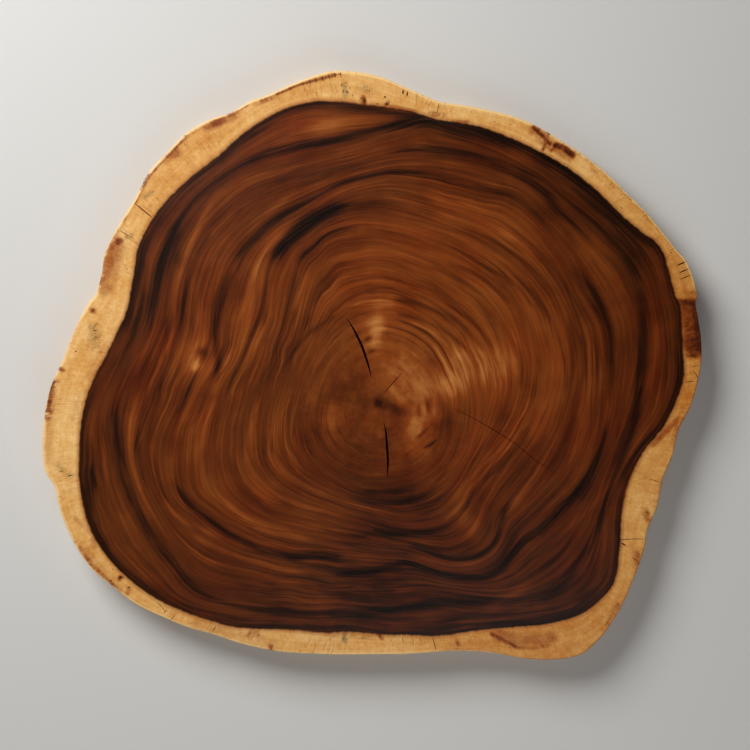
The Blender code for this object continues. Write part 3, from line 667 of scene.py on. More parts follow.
def rings_out(levels, bearing, height, sizes):
    """Radius of each growth level at each bearing on a flat face at some height: one row for a level."""
    leaned = bearing + FLUTE_LEAN_DEG * (1 - height / THICKNESS)
    outline = closed_curve(OUTLINE_MM, leaned)
    reach = np.linspace(0, 1, RADIUS_SAMPLES)[:, None] * outline
    turned = np.broadcast_to(leaned, reach.shape)
    found = growth_at(turned.ravel(), reach.ravel()).reshape(reach.shape)
    radii = np.stack([np.interp(levels, found[:, n], reach[:, n]) for n in range(len(bearing))])
    return radii.T * edge_radius(bearing, height, sizes) / outline


def row_of_points(radii, height, columns):
    """A closed row of points round the pith at one height, taken from radii at every edge column."""
    picked = radii[:: EDGE_COLUMNS // columns]
    turned = np.radians(np.arange(columns) * 360 / columns)
    return np.column_stack([level_points(picked, turned), np.full(columns, height)])


def face_rows(height, inset, growth_step, column_steps, sapwood_rows, sapwood_columns, sizes):
    """Rows of one flat face from the pith out to its rim."""
    bearings = np.arange(EDGE_COLUMNS) * 360 / EDGE_COLUMNS
    count = round(GROWTH_AT_HEART / growth_step)
    levels = GROWTH_AT_HEART * np.arange(1, count + 1) / count
    rings = rings_out(levels, bearings, height, sizes)
    rows = []
    for radii in rings:
        reach = radii.mean() / MM
        columns = next((n for limit, n in column_steps if reach < limit), sapwood_columns)
        rows.append(row_of_points(radii, height, columns))
    rim = edge_radius(bearings, height, sizes) - inset
    for step in range(1, sapwood_rows + 1):
        share = step / sapwood_rows
        columns = EDGE_COLUMNS if step == sapwood_rows else sapwood_columns
        rows.append(row_of_points(rings[-1] + (rim - rings[-1]) * share, height, columns))
    return rows


def edge_rows(sizes):
    """Rows of the live edge from below the show face's rim down to above the underside's rim."""
    bearings = np.arange(EDGE_COLUMNS) * 360 / EDGE_COLUMNS
    profile = []
    for step in range(ROUND_OVER_ROWS - 1, -1, -1):
        turn = math.radians(90 * step / ROUND_OVER_ROWS)
        rise = sizes.face_round_over
        profile.append((THICKNESS - rise + rise * math.sin(turn), rise * (1 - math.cos(turn))))
    high, low = THICKNESS - sizes.face_round_over, sizes.underside_round_over
    for step in range(1, SIDE_ROWS):
        profile.append((high + (low - high) * step / SIDE_ROWS, 0.0))
    for step in range(ROUND_OVER_ROWS):
        turn = math.radians(90 * step / ROUND_OVER_ROWS)
        drop = sizes.underside_round_over
        profile.append((drop * (1 - math.sin(turn)), drop * (1 - math.cos(turn))))
    return [
        row_of_points(edge_radius(bearings, height, sizes) - inset, height, EDGE_COLUMNS)
        for height, inset in profile
    ]


def bridged(first, first_start, second, second_start):
    """Faces between two closed rows, where one may have twice as many points as the other."""
    count = min(first, second)

    def stretch_of(size, start, n):
        share = size // count
        return [start + (share * n + k) % size for k in range(share + 1)]

    faces = []
    for n in range(count):
        near, *back = stretch_of(first, first_start, n)
        faces.append((near, *stretch_of(second, second_start, n), *reversed(back)))
    return faces


def pith_place(sizes):
    """Where the pith stands, so that the slab's bounding box is centred on the frame's origin."""
    widest = np.vstack([row[:, :2] for row in edge_rows(sizes)])
    return -(widest.min(axis=0) + widest.max(axis=0)) / 2


def slab_mesh(sizes):
    """The closed slab: rows of points from the pith out, down the edge and back in underneath."""
    top = face_rows(
        THICKNESS, sizes.face_round_over, GROWTH_STEP, COLUMNS_WITHIN_MM, SAPWOOD_ROWS, EDGE_COLUMNS, sizes
    )
    edge = edge_rows(sizes)
    under = face_rows(
        0.0, sizes.underside_round_over, UNDERSIDE_GROWTH_STEP, UNDERSIDE_COLUMNS_WITHIN_MM,
        UNDERSIDE_SAPWOOD_ROWS, EDGE_COLUMNS // 2, sizes,
    )[::-1]
    rows = top + edge + under
    edge_count = len(edge) + 1 - ROUND_OVER_ROWS
    sides = [TOP] * (len(top) + ROUND_OVER_ROWS) + [EDGE] * edge_count + [UNDERSIDE] * (len(under) - 1)
    starts = np.cumsum([0] + [len(row) for row in rows])
    faces, side_of_face = [], []
    for at in range(len(rows) - 1):
        made = bridged(len(rows[at]), starts[at], len(rows[at + 1]), starts[at + 1])
        faces += made
        side_of_face += [sides[at + 1]] * len(made)
    pith_above, pith_below = starts[-1], starts[-1] + 1
    for n in range(len(rows[0])):
        faces.append((pith_above, n, (n + 1) % len(rows[0])))
        side_of_face.append(TOP)
    last = len(rows[-1])
    for n in range(last):
        faces.append((pith_below, starts[-2] + (n + 1) % last, starts[-2] + n))
        side_of_face.append(UNDERSIDE)
    points = np.vstack(rows + [[(0, 0, THICKNESS), (0, 0, 0)]])
    points[:, :2] += pith_place(sizes)
    mesh = bpy.data.meshes.new(SLAB_NAME)
    mesh.from_pydata(points.tolist(), [], faces)
    side = mesh.attributes.new("side", "INT", "FACE")
    side.data.foreach_set("value", np.array(side_of_face, np.int32))
    share = np.zeros(len(points), np.float32)
    first, past = starts[len(top)], starts[len(top) + len(edge)]
    heights = points[first:past, 2] / THICKNESS
    share[first:past] = np.clip(np.sin(np.pi * heights) * EDGE_SHARE_GAIN, 0, 1)
    mesh.attributes.new("edge_share", "FLOAT", "POINT").data.foreach_set("value", share)
    return mesh


def put(tree, kind, inputs=None, **settings):
    """Adds a node with its settings, and links or fills its inputs by name or number."""
    node = tree.nodes.new(kind)
    for name, value in settings.items():
        setattr(node, name, value)
    for key, value in (inputs or {}).items():
        if isinstance(value, bpy.types.NodeSocket):
            tree.links.new(value, node.inputs[key])
        else:
            node.inputs[key].default_value = value
    return node


def calc(tree, operation, *values):
    """A Math node's result."""
    return put(tree, "ShaderNodeMath", dict(enumerate(values)), operation=operation).outputs[0]


def vector_calc(tree, operation, *values):
    """A Vector Math node's vector. The last value of SCALE is the factor."""
    inputs = {0: values[0], "Scale": values[1]} if operation == "SCALE" else dict(enumerate(values))
    return put(tree, "ShaderNodeVectorMath", inputs, operation=operation).outputs[0]


def parts_of(tree, vector):
    return put(tree, "ShaderNodeSeparateXYZ", {0: vector}).outputs


def combined(tree, inputs):
    """A vector from some of its parts, given by number."""
    return put(tree, "ShaderNodeCombineXYZ", inputs).outputs[0]


def level_direction(tree, vector):
    """A vector brought level and to unit length."""
    return vector_calc(tree, "NORMALIZE", vector_calc(tree, "MULTIPLY", vector, (1, 1, 0)))


def object_place(tree):
    return put(tree, "ShaderNodeTexCoord").outputs["Object"]


def stretched(tree, vector, scale, turn=0.0):
    """A vector stretched by three factors, after a turn about Z."""
    inputs = {"Vector": vector, "Rotation": (0, 0, turn), "Scale": scale}
    return put(tree, "ShaderNodeMapping", inputs).outputs[0]


def noise_value(tree, vector, scale, detail, roughness=0.6):
    """A noise texture's value, which swings about one half."""
    return put(tree, "ShaderNodeTexNoise", {
        "Vector": vector, "Scale": scale, "Detail": detail, "Roughness": roughness,
    }).outputs["Fac"]


def centred_noise(tree, *noise):
    """A noise texture's value, which swings about zero."""
    return calc(tree, "SUBTRACT", noise_value(tree, *noise), 0.5)


def smooth_step(tree, value, low, high, to_low=0.0, to_high=1.0):
    """Runs smoothly from to_low to to_high as the value goes from low to high."""
    inputs = {"Value": value, "From Min": low, "From Max": high, "To Min": to_low, "To Max": to_high}
    return put(tree, "ShaderNodeMapRange", inputs, interpolation_type="SMOOTHSTEP").outputs[0]


def mixed(tree, factor, low, high, blend="MIX"):
    """Two colours mixed by a factor."""
    inputs = {0: factor, 6: low, 7: high}
    node = put(tree, "ShaderNodeMix", inputs, data_type="RGBA", blend_type=blend, clamp_factor=True)
    return node.outputs[2]


def ramp(tree, factor, places, colours):
    """A colour that runs smoothly through the given colours at the given places, each colour a socket."""
    result = colours[0]
    for low, high, following in zip(places, places[1:], colours[1:]):
        step = put(tree, "ShaderNodeMapRange", {"Value": factor, "From Min": low, "From Max": high})
        result = mixed(tree, step.outputs[0], result, following)
    return result


def new_group(name, inputs, outputs):
    """A shader node group with its sockets, and its input and output nodes."""
    group = bpy.data.node_groups.new(name, "ShaderNodeTree")
    for socket, kind in inputs.items():
        group.interface.new_socket(socket, in_out="INPUT", socket_type=kind)
    for socket, kind in outputs.items():
        group.interface.new_socket(socket, in_out="OUTPUT", socket_type=kind)
    return group, group.nodes.new("NodeGroupInput").outputs, group.nodes.new("NodeGroupOutput").inputs


def placed(tree, group, inputs):
    """A node group placed in a tree, with its outputs."""
    return put(tree, "ShaderNodeGroup", inputs, node_tree=group).outputs


def ring_streak_group():
    """Streaks that run along the rings: noise stretched to a length along them and a width across them."""
    group, given, result = new_group(
        "Ring streaks",
        {"Growth": VECTOR, "Length": FLOAT, "Width": FLOAT, "Detail": FLOAT},
        {"Value": FLOAT},
    )
    parts = parts_of(group, given["Growth"])
    near_pith = calc(group, "DIVIDE", STREAK_TURNS, calc(group, "MAXIMUM", parts[2], 0.001))
    stretch = calc(group, "ADD", calc(group, "DIVIDE", 1.0, given["Length"]), near_pith)
    drawn_out = combined(group, {
        0: calc(group, "MULTIPLY", parts[0], stretch),
        1: calc(group, "MULTIPLY", parts[1], stretch),
        2: calc(group, "DIVIDE", parts[2], given["Width"]),
    })
    swing = centred_noise(group, drawn_out, 1.0, given["Detail"], 0.55)
    group.links.new(calc(group, "MULTIPLY", swing, 3.2), result["Value"])
    return group


def ray_vector(tree, growth, across, along):
    """Growth coordinates with so many features a unit across and along the rays, for a noise texture."""
    wide = vector_calc(tree, "SCALE", level_direction(tree, growth), across)
    outwards = calc(tree, "MULTIPLY", parts_of(tree, growth)[2], along)
    return vector_calc(tree, "ADD", wide, combined(tree, {2: outwards}))


def heartwood_group(streaks):
    """Dark ringed heartwood: the painted tone broken into streaks of every width."""
    group, given, result = new_group(
        "Heartwood",
        {
            "Growth": VECTOR, "Position": VECTOR, "Tone": FLOAT, "Contrast": FLOAT,
            **dict.fromkeys(HEART_COLOURS, COLOUR),
        },
        {"Color": COLOUR, "Height": FLOAT},
    )

    def streak(vector, run, width, detail=2.0):
        inputs = {"Growth": vector, "Length": run, "Width": width, "Detail": detail}
        return placed(group, streaks, inputs)["Value"]

    wander = calc(group, "MULTIPLY", streak(given["Growth"], 0.16, 0.09), 0.0035)
    warped = vector_calc(group, "ADD", given["Growth"], combined(group, {2: wander}))
    reach = parts_of(group, warped)[2]
    # From broad to fine: each streak's length, width and detail, and how much it changes the tone
    layers = [
        (streak(warped, 0.80, 0.036, 1.5), 0.085),
        (streak(warped, 0.50, 0.014, 1.5), 0.115),
        (streak(warped, 0.30, 0.0055, 1.5), 0.105),
        (streak(warped, 0.12, 0.0020, 1.0), 0.065),
    ]
    figure = 0.0
    for value, amount in layers:
        figure = calc(group, "MULTIPLY_ADD", value, amount, figure)
    # Thin dark ring lines, where a wide streak's value passes through the middle
    crossing = calc(group, "ABSOLUTE", streak(warped, 0.70, 0.017, 1.5))
    line = smooth_step(group, crossing, 0.02, 0.17, 1.0, 0.0)
    shown = smooth_step(group, streak(warped, 0.28, 0.05), -0.05, 0.75)
    figure = calc(group, "MULTIPLY_ADD", calc(group, "MULTIPLY", line, shown), -0.15, figure)
    # Crisp lines that are finer than the mesh's rows
    around = level_direction(group, warped)
    crisp = 0.0
    for strength, bearing, half_range, at, width in CRISP_RINGS:
        turn = math.radians(bearing)
        towards = (math.cos(turn), math.sin(turn), 0)
        dot = put(group, "ShaderNodeVectorMath", {0: around, 1: towards}, operation="DOT_PRODUCT")
        range_edge = math.cos(math.radians(half_range))
        within = smooth_step(group, dot.outputs["Value"], range_edge, 1.0, 0.0, strength)
        off = calc(group, "ABSOLUTE", calc(group, "SUBTRACT", reach, at))
        thin = smooth_step(group, off, 0.0, width, 1.0, 0.0)
        crisp = calc(group, "MULTIPLY_ADD", within, thin, crisp)
    lively = calc(group, "MULTIPLY_ADD", streak(warped, 0.25, 0.06), 0.35, 1.0)
    away = smooth_step(group, reach, 0.04, 0.27, 0.16, 1.0)
    strength = calc(group, "MULTIPLY", calc(group, "MULTIPLY", lively, away), given["Contrast"])
    # The painted bands are broken into sub-streaks, more so the farther they are from the middle tone
    painted = calc(group, "SUBTRACT", given["Tone"], MIDDLE_TONE)
    breaks = calc(group, "MULTIPLY", streak(warped, 0.18, 0.009), away)
    broken = calc(group, "MULTIPLY_ADD", breaks, 0.70, 1.0)
    tone = calc(group, "MULTIPLY_ADD", painted, calc(group, "MAXIMUM", broken, 0.3), MIDDLE_TONE)
    tone = calc(group, "MULTIPLY_ADD", figure, strength, tone)
    tone = calc(group, "ADD", tone, crisp)
    # Cloudy wood and flecks along the rays round the pith, where the rings are faint
    cloud = centred_noise(group, given["Position"], 15.0, 5.0, 0.62)
    tone = calc(group, "MULTIPLY_ADD", cloud, 0.22, tone)
    near = smooth_step(group, reach, 0.06, 0.27, 1.0, 0.0)
    fleck = noise_value(group, ray_vector(group, warped, 24.0, 34.0), 1.0, 4.0, 0.65)
    mottle = noise_value(group, given["Position"], 48.0, 5.0, 0.66)
    spots = calc(group, "SUBTRACT", calc(group, "MULTIPLY_ADD", fleck, 0.25, mottle), 0.62)
    tone = calc(group, "MULTIPLY_ADD", calc(group, "MULTIPLY", spots, near), 0.36, tone)
    colours = [given[name] for name in ("Black", "Dark", "Middle", "Light", "Gold")]
    wood = ramp(group, tone, (0.0, 0.25, 0.5, 0.72, 1.0), colours)
    redder = calc(group, "MULTIPLY_ADD", streak(warped, 0.30, 0.022), 0.22, HEART_REDNESS)
    redder = calc(group, "ADD", noise_value(group, given["Position"], 5.0, 3.0), redder)
    tinted = mixed(group, calc(group, "SUBTRACT", redder, 0.5), wood, given["Red"], "SOFT_LIGHT")
    group.links.new(tinted, result["Color"])
    group.links.new(layers[3][0], result["Height"])
    return group


def sapwood_group(streaks):
    """Pale sapwood with faint rings, mottling and its brown, red and grey marks."""
    group, given, result = new_group(
        "Sapwood",
        {
            "Growth": VECTOR, "Position": VECTOR, "Tone": FLOAT, "Brown": FLOAT, "Red mark": FLOAT,
            "Grey mark": FLOAT, "Middle": COLOUR, **dict.fromkeys(SAPWOOD_COLOURS, COLOUR),
        },
        {"Color": COLOUR, "Height": FLOAT},
    )
    growth, position = given["Growth"], given["Position"]
    run = {"Growth": growth, "Length": 0.22, "Width": 0.009, "Detail": 3.0}
    rings = placed(group, streaks, run)["Value"]
    fine_run = {"Growth": growth, "Length": 0.012, "Width": 0.0022, "Detail": 2.0}
    fine = placed(group, streaks, fine_run)["Value"]
    fibres = centred_noise(group, ray_vector(group, growth, 190.0, 30.0), 1.0, 3.0)
    tone = given["Tone"]
    for value, amount in (
        (centred_noise(group, position, 34.0, 5.0, 0.7), 0.85),
        (centred_noise(group, position, 150.0, 3.0, 0.7), 0.5),
        (centred_noise(group, position, 7.0, 2.0, 0.5), 0.7),
        (fibres, 0.42), (rings, 0.16), (fine, 0.07),
    ):
        tone = calc(group, "MULTIPLY_ADD", value, amount, tone)
    wood = ramp(group, tone, (0.0, 0.5, 1.0), [given["Deep"], given["Middle"], given["Pale"]])
    # Hairlines along the rays and specks of dirt, in some places only
    places = smooth_step(group, noise_value(group, position, 13.0, 2.0), 0.46, 0.66)
    wave = centred_noise(group, ray_vector(group, growth, 52.0, 9.0), 1.0, 2.0)
    hair = smooth_step(group, calc(group, "ABSOLUTE", wave), 0.004, 0.022, 0.45, 0.0)
    speck = smooth_step(group, noise_value(group, position, 300.0, 1.0), 0.68, 0.78, 0.0, 0.6)
    dirt = calc(group, "MULTIPLY", calc(group, "MAXIMUM", hair, speck), places)
    wood = mixed(group, dirt, wood, given["Red stain"])
    # Each stain is a soft wash with a ragged border, golden brown where it is thin
    ragged = centred_noise(group, position, 62.0, 5.0, 0.66)
    torn = calc(group, "MULTIPLY_ADD", fibres, 0.7, ragged)
    dashed = calc(group, "MULTIPLY_ADD", fine, 0.45, ragged)

    def broken_border(mark, breaks, raggedness):
        present = smooth_step(group, given[mark], 0.0, 0.35, 0.0, raggedness)
        return calc(group, "MULTIPLY_ADD", breaks, present, given[mark])

    for mark, breaks, raggedness, most, stain in (
        ("Grey mark", dashed, 1.2, 0.78, "Grey stain"), ("Red mark", torn, 0.9, 0.85, "Red stain"),
    ):
        amount = smooth_step(group, broken_border(mark, breaks, raggedness), 0.05, 1.3, 0.0, most)
        wood = mixed(group, amount, wood, given[stain])
    amount = broken_border("Brown", torn, 1.3)
    thin = smooth_step(group, amount, 0.02, 0.85, 0.0, 0.85)
    thick = smooth_step(group, amount, 0.45, 1.35)
    wood = mixed(group, thick, mixed(group, thin, wood, given["Red stain"]), given["Brown stain"])
    group.links.new(wood, result["Color"])
    group.links.new(fine, result["Height"])
    return group


def cross_cut_group(heartwood, sapwood):
    """A face cut across the trunk: heartwood inside its ragged, dark border and sapwood outside."""
    group, given, result = new_group(
        "Cross cut",
        {
            "Growth": VECTOR, "Position": VECTOR, "Figure": VECTOR, "Marks": VECTOR, "Contrast": FLOAT,
            **dict.fromkeys((*HEART_COLOURS, *SAPWOOD_COLOURS, "Sap middle"), COLOUR),
        },
        {"Color": COLOUR, "Roughness": FLOAT, "Height": FLOAT},
    )
    tone, inside, calm = parts_of(group, given["Figure"])
    brown, red, grey = parts_of(group, given["Marks"])
    around = level_direction(group, given["Growth"])
    ragged = centred_noise(group, around, 42.0, 4.0, 0.62)
    uneven = calc(group, "MULTIPLY_ADD", ragged, BORDER_RAGGEDNESS, inside)
    in_heart = smooth_step(group, uneven, *BORDER)
    # A darker band of uneven width inside the border
    reach = calc(group, "MULTIPLY_ADD", noise_value(group, around, 5.0, 2.0, 0.5), 0.055, 0.004)
    band = calc(group, "SUBTRACT", 1.0, calc(group, "DIVIDE", uneven, reach))
    band = smooth_step(group, band, 0.0, 1.0)
    heart_tone = calc(group, "MULTIPLY_ADD", band, BORDER_DARKENING, tone)
    lively = calc(group, "SUBTRACT", 1.0, calm)
    heart = placed(group, heartwood, {
        "Growth": given["Growth"], "Position": given["Position"], "Tone": heart_tone,
        "Contrast": calc(group, "MULTIPLY", given["Contrast"], lively),
        **{name: given[name] for name in HEART_COLOURS},
    })
    rim = placed(group, sapwood, {
        "Growth": given["Growth"], "Position": given["Position"], "Tone": tone, "Brown": brown,
        "Red mark": red, "Grey mark": grey, "Middle": given["Sap middle"],
        **{name: given[name] for name in SAPWOOD_COLOURS},
    })
    fringe = smooth_step(group, uneven, *FRINGE, 0.0, 0.5)
    fringed = mixed(group, fringe, rim["Color"], given["Red stain"])
    group.links.new(mixed(group, in_heart, fringed, heart["Color"]), result["Color"])
    rise = calc(group, "SUBTRACT", heart["Height"], rim["Height"])
    height = calc(group, "MULTIPLY_ADD", in_heart, rise, rim["Height"])
    group.links.new(height, result["Height"])
    shine = calc(group, "MULTIPLY_ADD", height, 0.03, 0.36)
    group.links.new(calc(group, "MULTIPLY_ADD", in_heart, -0.06, shine), result["Roughness"])
    return group


def new_material(name):
    material = bpy.data.materials.new(name)
    material.use_nodes = True
    material.node_tree.nodes.clear()
    return material


def finish_material(tree, colour_socket, roughness, height, relief, specular):
    """Ends a wood material in its shader, with a bump of the given relief in metres."""
    bump = put(tree, "ShaderNodeBump", {"Strength": 1.0, "Distance": relief, "Height": height})
    shader = put(tree, "ShaderNodeBsdfPrincipled", {
        "Base Color": colour_socket, "Roughness": roughness, "Normal": bump.outputs[0],
        "Specular IOR Level": specular,
    })
    put(tree, "ShaderNodeOutputMaterial", {"Surface": shader.outputs[0]})


def opaque(value):
    return (*value, 1.0)


def painted_vectors(tree):
    """The growth coordinate, the figure and the marks that are painted onto the slab."""
    return [
        put(tree, "ShaderNodeAttribute", attribute_name=name).outputs["Vector"]
        for name in ("growth", "figure", "marks")
    ]


def own_colours(colours, names):
    """The wood's colours by the names of the sockets that take them."""
    return {socket: opaque(getattr(colours, name)) for socket, name in names.items()}


def cut_inputs(tree, colours, contrast):
    """What a cross-cut face reads: its painted attributes and the wood's colours."""
    growth, figure, marks = painted_vectors(tree)
    return {
        "Growth": growth, "Figure": figure, "Marks": marks, "Position": object_place(tree),
        "Contrast": contrast, "Sap middle": opaque(colours.sapwood_mid),
        **own_colours(colours, {**HEART_COLOURS, **SAPWOOD_COLOURS}),
    }


def show_face_material(colours, cross_cut):
    tree = new_material("oiled_show_face").node_tree
    face = placed(tree, cross_cut, cut_inputs(tree, colours, contrast=1.0))
    finish_material(
        tree, face["Color"], face["Roughness"], face["Height"], relief=0.00006, specular=0.25
    )


def underside_material(colours, cross_cut):
    """The sawn underside: the same rings, duller and drier."""
    tree = new_material("sawn_underside").node_tree
    face = placed(tree, cross_cut, cut_inputs(tree, colours, contrast=0.8))
    dusty = mixed(tree, 0.22, face["Color"], opaque(colours.edge_wood))
    saw = stretched(tree, object_place(tree), (300, 8, 1), turn=0.4)
    marks = noise_value(tree, saw, 1.0, 2.0, 0.5)
    rough = calc(tree, "MULTIPLY_ADD", marks, 0.12, 0.62)
    finish_material(tree, dusty, rough, marks, relief=0.0004, specular=0.3)


def live_edge_material(colours, sapwood):
    """Bare debarked wood with grain down it and inner bark left in places."""
    tree = new_material("bare_live_edge").node_tree
    position = object_place(tree)
    growth, figure, marks = painted_vectors(tree)
    brown, red, grey = parts_of(tree, marks)
    wood = placed(tree, sapwood, {
        "Growth": growth, "Position": position, "Tone": parts_of(tree, figure)[0], "Brown": brown,
        "Red mark": red, "Grey mark": grey, "Middle": opaque(colours.edge_wood),
        **own_colours(colours, SAPWOOD_COLOURS),
    })

    def grain(across, down, detail):
        return noise_value(tree, stretched(tree, position, (across, across, down)), 1.0, detail)

    lines = grain(190, 9, 3.0)
    patches = grain(14, 5, 5.0)
    bark = smooth_step(tree, calc(tree, "MULTIPLY_ADD", lines, 0.25, patches), 0.62, 0.78)
    streaky = smooth_step(tree, lines, 0.3, 0.75)
    bark_amount = calc(tree, "MULTIPLY", bark, calc(tree, "MULTIPLY_ADD", streaky, 0.6, 0.25))
    skin = smooth_step(tree, grain(5, 3, 3.0), 0.35, 0.7, 0.15, 0.75)
    shaded = mixed(tree, calc(tree, "MULTIPLY", streaky, skin), wood["Color"], opaque(colours.sapwood_deep))
    coloured = mixed(tree, bark_amount, shaded, opaque(colours.edge_bark))
    rough = calc(tree, "MULTIPLY_ADD", bark, 0.15, 0.56)
    height = calc(tree, "MULTIPLY_ADD", bark, 0.6, lines)
    finish_material(tree, coloured, rough, height, relief=0.0008, specular=0.35)


def crack_material(name, deep, raised):
    """Raw torn wood inside a crack or a check, from its deep colour to that of its raised fibres."""
    tree = new_material(name).node_tree
    torn = stretched(tree, object_place(tree), (60, 60, 400))
    fibres = noise_value(tree, torn, 1.0, 3.0, 0.5)
    shade = mixed(tree, fibres, opaque(deep), opaque(raised))
    rough = calc(tree, "MULTIPLY_ADD", fibres, 0.1, 0.75)
    finish_material(tree, shade, rough, fibres, relief=0.0004, specular=0.04)


def floor_material(shade):
    material = new_material("pale_floor")
    tree = material.node_tree
    speckle = noise_value(tree, object_place(tree), 3.0, 2.0, 0.5)
    rough = calc(tree, "MULTIPLY_ADD", speckle, 0.05, 0.85)
    shader = put(tree, "ShaderNodeBsdfPrincipled", {"Base Color": opaque(shade), "Roughness": rough})
    put(tree, "ShaderNodeOutputMaterial", {"Surface": shader.outputs[0]})
    return material


def slice_materials(colours):
    """The slice's five finishes, made once."""
    if MATERIAL_NAMES[0] not in bpy.data.materials:
        streaks = ring_streak_group()
        sapwood = sapwood_group(streaks)
        cross_cut = cross_cut_group(heartwood_group(streaks), sapwood)
        show_face_material(colours, cross_cut)
        live_edge_material(colours, sapwood)
        underside_material(colours, cross_cut)
        crack_material("crack_wall", colours.heart_black, colours.crack_wall)
        crack_material("check_wall", colours.stain_brown, colours.check_wall)
    return [bpy.data.materials[name] for name in MATERIAL_NAMES]


def new_geometry_tree(name, inputs):
    """A Geometry Nodes tree with one geometry in and out and the named inputs."""
    tree = bpy.data.node_groups.new(name, "GeometryNodeTree")
    tree.is_modifier = True
    tree.interface.new_socket("Geometry", in_out="INPUT", socket_type="NodeSocketGeometry")
    tree.interface.new_socket("Geometry", in_out="OUTPUT", socket_type="NodeSocketGeometry")
    for socket, kind in inputs.items():
        tree.interface.new_socket(socket, in_out="INPUT", socket_type=kind)
    return tree, tree.nodes.new("NodeGroupInput").outputs, tree.nodes.new("NodeGroupOutput").inputs


def named(tree, name, kind):
    """A named attribute in a Geometry Nodes tree."""
    node = put(tree, "GeometryNodeInputNamedAttribute", {"Name": name}, data_type=kind)
    return node.outputs[0]


def live_edge_tree():
    """Fine grain grooves pressed into the live edge, down from face to face."""
    tree, given, result = new_geometry_tree("Live edge grooves", {
        "Depth": FLOAT, "Width": FLOAT, "Length": FLOAT, "Side": "NodeSocketInt",
        "Material": "NodeSocketMaterial",
    })
    position = put(tree, "GeometryNodeInputPosition").outputs[0]
    parts = parts_of(tree, position)
    drawn_out = combined(tree, {
        0: calc(tree, "DIVIDE", parts[0], given["Width"]),
        1: calc(tree, "DIVIDE", parts[1], given["Width"]),
        2: calc(tree, "DIVIDE", parts[2], given["Length"]),
    })
    noise = noise_value(tree, drawn_out, 1.0, 3.0)
    full_depth = calc(tree, "MULTIPLY", noise, given["Depth"])
    depth = calc(tree, "MULTIPLY", full_depth, named(tree, "edge_share", "FLOAT"))
    inset = calc(tree, "MULTIPLY", depth, -1.0)
    offset = vector_calc(tree, "SCALE", level_direction(tree, position), inset)
    moved = put(tree, "GeometryNodeSetPosition", {"Geometry": given["Geometry"], "Offset": offset})
    whole = put(tree, "GeometryNodeRealizeInstances", {"Geometry": moved.outputs[0]})
    compared = {2: named(tree, "side", "INT"), 3: given["Side"]}
    on_edge = put(tree, "FunctionNodeCompare", compared, data_type="INT", operation="EQUAL")
    coated = put(tree, "GeometryNodeSetMaterial", {
        "Geometry": whole.outputs[0], "Selection": on_edge.outputs[0], "Material": given["Material"],
    })
    tree.links.new(coated.outputs[0], result[0])
    return tree


def cutter_tree():
    """A tapered oval plug on each point, turned and sized by its attributes, to cut checks and holes."""
    tree, given, result = new_geometry_tree("Check cutters", {
        "Sides": "NodeSocketInt", "Floor share": FLOAT, "Overrun": FLOAT, "Material": "NodeSocketMaterial",
    })
    plug = put(tree, "GeometryNodeMeshCone", {
        "Vertices": given["Sides"], "Radius Top": 0.5, "Depth": calc(tree, "ADD", given["Overrun"], 1.0),
        "Radius Bottom": calc(tree, "MULTIPLY", given["Floor share"], 0.5),
    }, fill_type="NGON")
    down = combined(tree, {2: -1.0})
    sunk = put(tree, "GeometryNodeTransform", {"Geometry": plug.outputs["Mesh"], "Translation": down})
    copies = put(tree, "GeometryNodeInstanceOnPoints", {
        "Points": given["Geometry"], "Instance": sunk.outputs[0],
        "Rotation": combined(tree, {2: named(tree, "turn", "FLOAT")}),
        "Scale": named(tree, "size", "FLOAT_VECTOR"),
    })
    whole = put(tree, "GeometryNodeRealizeInstances", {"Geometry": copies.outputs[0]})
    coated = put(tree, "GeometryNodeSetMaterial", {
        "Geometry": whole.outputs[0], "Material": given["Material"],
    })
    tree.links.new(coated.outputs[0], result[0])
    return tree


def add_tree(thing, tree, values):
    """Puts a Geometry Nodes tree on an object and sets its inputs by their identifiers."""
    modifier = thing.modifiers.new(tree.name, "NODES")
    modifier.node_group = tree
    for socket in tree.interface.items_tree:
        if socket.in_out == "INPUT" and socket.name in values:
            modifier[socket.identifier] = values[socket.name]


def flatten(thing):
    """Swaps an object's mesh for the one its modifiers make, and removes the modifiers."""
    evaluated = thing.evaluated_get(bpy.context.evaluated_depsgraph_get())
    mesh = bpy.data.meshes.new_from_object(evaluated)
    old = thing.data
    thing.modifiers.clear()
    thing.data = mesh
    mesh.name = thing.name
    bpy.data.meshes.remove(old)


def new_object(name, mesh):
    thing = bpy.data.objects.new(name, mesh)
    bpy.context.collection.objects.link(thing)
    return thing


def cut(slab, cutter):
    """Takes the cutter's shape out of the slab, and removes the cutter."""
    before = len(slab.data.polygons)
    modifier = slab.modifiers.new("cut", "BOOLEAN")
    modifier.operation = "DIFFERENCE"
    modifier.solver = "MANIFOLD"
    modifier.material_mode = "TRANSFER"
    modifier.object = cutter
    flatten(slab)
    bpy.data.objects.remove(cutter)
    if len(slab.data.polygons) <= before:
        raise RuntimeError("the cut left the slab as it was")


def smooth_path(stations, sizes):
    """A crack's middle line in the world and its half openings, smoothly through its stations."""
    spots = np.array([
        (r * MM * math.cos(math.radians(b)), r * MM * math.sin(math.radians(b)), opening * MM / 2)
        for b, r, opening in stations
    ])
    ends = np.vstack([2 * spots[0] - spots[1], spots, 2 * spots[-1] - spots[-2]])
    path = []
    for before, start, end, after in zip(ends, ends[1:], ends[2:], ends[3:]):
        for t in np.arange(PATH_STEPS) / PATH_STEPS:
            path.append(
                start + 0.5 * t * (end - before) + t**2 * (before - 2.5 * start + 2 * end - 0.5 * after)
                + t**3 * (1.5 * (start - end) + 0.5 * (after - before))
            )
    path = np.array(path + [spots[-1]])
    return path[:, :2] + pith_place(sizes), np.maximum(path[:, 2], 0)


